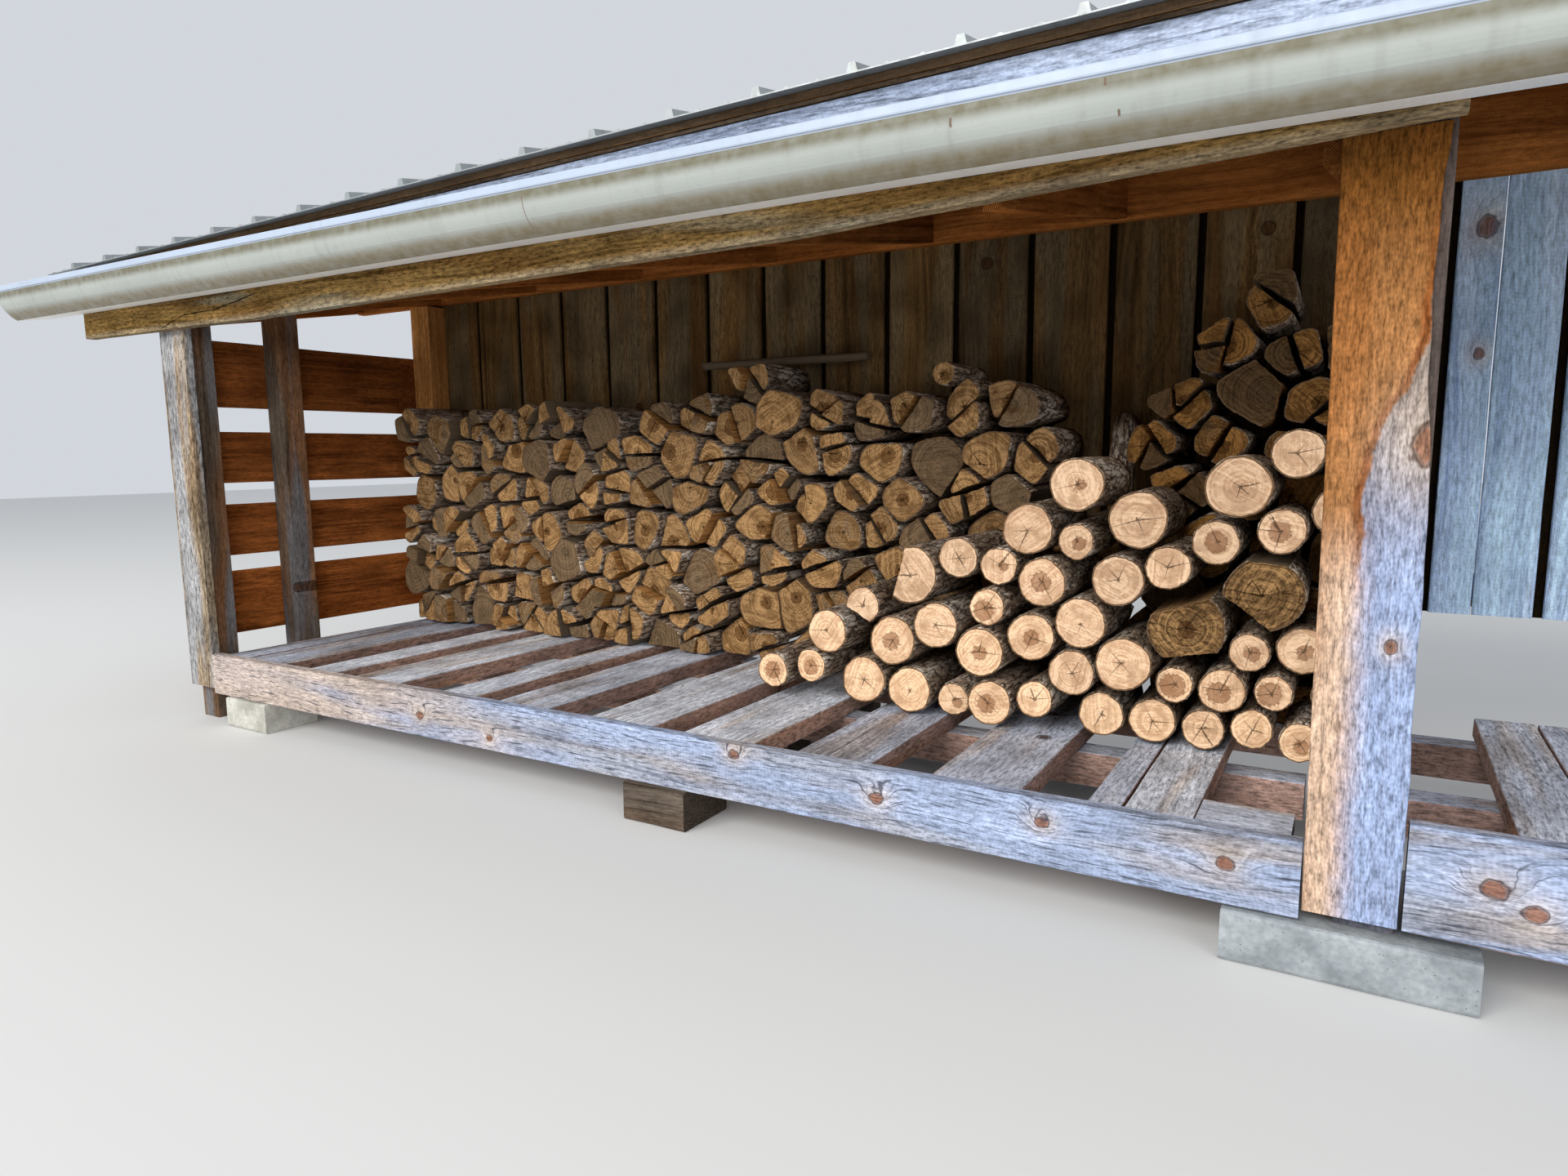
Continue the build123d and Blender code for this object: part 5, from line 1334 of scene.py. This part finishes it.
rng = Random(301)
pile = Logs("round_log_pile")
for x, z, radius, front, back, *cuts in round_logs:
    ph = [rng.random() * 6.28 for _ in range(3)]
    outline = []
    for k in range(44):
        t = 2 * pi * k / 44
        r = radius * (1.0 - 0.022 * (1 + sin(2 * t + ph[0])) * 0.5 - 0.016 * (1 + sin(3 * t + ph[1])) * 0.5 - 0.010 * (1 + sin(5 * t + ph[2])) * 0.5)
        outline.append((x + r * cos(t), z + r * sin(t)))
    flats = []
    for a, b, c in cuts:
        line = (a, b, a * x + b * z + c * radius * 0.985)
        outline = cut(outline, *line)
        flats.append(line)
    pile.log(outline, (x + (rng.random() - 0.5) * 8, z + (rng.random() - 0.5) * 8), front, back, flats, rng, segment=8.5, stations=11,
             rings=(0.975, 0.945, 0.86, 0.72, 0.55, 0.36, 0.18), tone=(0.24 if cuts and radius > 90 else min(1.0, max(0.3, 0.95 - 0.85 * (z - 330) / 560 + 0.4 * (rng.random() - 0.5)))), tilt=0.055, slope=0.012,
             end=3 if cuts and radius > 90 else 0)
pile.build([M_END_PILE, M_BARK, M_SPLIT, M_TORN], "firewood_round_logs")

back_pieces = stacked(back_stack, 40)
stack = Logs("split_wood_back_stack")
for outline, pith, front, back, splits in back_pieces:
    stack.log(outline, pith, front, back, splits, rng, segment=14.0, stations=4, rings=(0.965, 0.93, 0.70, 0.36), tilt=0.09)
stick_z = highest_in(back_pieces, stick[0] - 20, stick[1] + 20) + stick[2] + 2.0
top_log_z = highest_in(back_pieces, top_log[0] - 35, top_log[0] + 35) + top_log[1] + 2.0
foot_z = highest_in(back_pieces, -705.0, -590.0) + leaning_log[5] + 26.0
stack.log(pole(stick[2], rng), (0.0, 0.0), 0.0, stick[1] - stick[0], [], rng, segment=6.0, stations=22, tone=0.1, slope=0.0, tilt=0.0, skin=2,
          place=((stick[0], FRONT / MM + stick[3], stick_z), (0, -1, 0), (0, 0, 1), (1, 0, 0)))
stack.log(pole(top_log[1], rng, 28), (0.0, 0.0), 0.0, top_log[3] - top_log[2], [], rng, segment=8.0, stations=9, tone=0.8, slope=0.0, tilt=0.03,
          place=((top_log[0], FRONT / MM + top_log[2], top_log_z), (1, 0, 0), (0, 0, 1), (0, 1, 0)))
lean = Vector((leaning_log[2] - leaning_log[0], leaning_log[3] - leaning_log[1], leaning_log[4]))
axis = lean.normalized()
side = Vector((1, 0, 0))
side = (side - axis * side.dot(axis)).normalized()
upward = side.cross(axis)
stack.log(pole(leaning_log[5], rng, 28), (0.0, 0.0), 0.0, lean.length, [], rng, segment=8.0, stations=9, tone=0.35, slope=0.0, tilt=0.02,
          place=((leaning_log[0], FRONT / MM + leaning_log[1], foot_z), tuple(side), tuple(upward), tuple(axis)))
stack.build([M_END_STACK, M_BARK, M_SPLIT], "firewood_back_stack")

tall = Logs("split_wood_tall_stack")
for outline, pith, front, back, splits in stacked(tall_stack, 40):
    tall.log(outline, pith, front, back, splits, rng, segment=12.0, stations=5, rings=(0.97, 0.94, 0.75, 0.5, 0.25), tilt=0.08)
tall.build([M_END_TALL, M_BARK, M_SPLIT], "firewood_tall_stack")

# ------------------------------------------------------------ stage
floor = bpy.data.meshes.new("floor")
floor.from_pydata([(-30, -30, 0), (30, -30, 0), (30, 30, 0), (-30, 30, 0)], [], [[0, 1, 2, 3]])
floor_o = bpy.data.objects.new("floor", floor)
bpy.context.scene.collection.objects.link(floor_o)
fm = bpy.data.materials.new("floor_pale")
fm.use_nodes = True
fm.node_tree.nodes["Principled BSDF"].inputs["Base Color"].default_value = (0.68, 0.68, 0.67, 1)
fm.node_tree.nodes["Principled BSDF"].inputs["Roughness"].default_value = 0.9
floor.materials.append(fm)
floor_o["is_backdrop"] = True

world = bpy.data.worlds.new("studio")
world.use_nodes = True
world.node_tree.nodes["Background"].inputs["Color"].default_value = (0.86, 0.90, 0.96, 1)
world.node_tree.nodes["Background"].inputs["Strength"].default_value = 0.75
bpy.context.scene.world = world


def softbox(name, at, to, size, power, colour=(1, 1, 1)):
    light = bpy.data.lights.new(name, "AREA")
    light.shape = "RECTANGLE"
    light.size, light.size_y = size
    light.energy = power
    light.color = colour
    o = bpy.data.objects.new(name, light)
    bpy.context.scene.collection.objects.link(o)
    o.location = at
    d = Vector(to) - Vector(at)
    o.rotation_euler = d.to_track_quat("-Z", "Y").to_euler()
    o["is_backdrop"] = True


softbox("key", (-4.1, -14.0, 9.0), (-1.0, 0.0, 0.7), (12.4, 6.2), 2400, (1.0, 0.97, 0.92))
softbox("fill", (8.0, -9.3, 3.6), (-0.5, 0.0, 0.8), (7.8, 4.6), 530, (0.95, 0.97, 1.0))


# ------------------------------------------------------------ camera
yaw, pitch_a, roll = math.radians(30.788), math.radians(7.92), math.radians(-0.515)
d = np.array([-math.sin(yaw) * math.cos(pitch_a), math.cos(yaw) * math.cos(pitch_a), -math.sin(pitch_a)])
r = np.array([math.cos(yaw), math.sin(yaw), 0.0])
u = np.cross(r, d)
r2 = math.cos(roll) * r + math.sin(roll) * u
u2 = -math.sin(roll) * r + math.cos(roll) * u
cam = bpy.data.cameras.new("camera")
cam.sensor_width = 36.0
cam.sensor_fit = "HORIZONTAL"
cam.lens = 1191.5 / 1920.0 * 36.0
cam.clip_start, cam.clip_end = 0.05, 200.0
cam_o = bpy.data.objects.new("camera", cam)
bpy.context.scene.collection.objects.link(cam_o)
cam_o.matrix_world = Matrix(((r2[0], u2[0], -d[0], -0.020), (r2[1], u2[1], -d[1], Y(-2000)), (r2[2], u2[2], -d[2], 1.0), (0, 0, 0, 1)))
bpy.context.scene.camera = cam_o
bpy.context.scene.view_settings.view_transform = "Standard"

low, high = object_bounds()
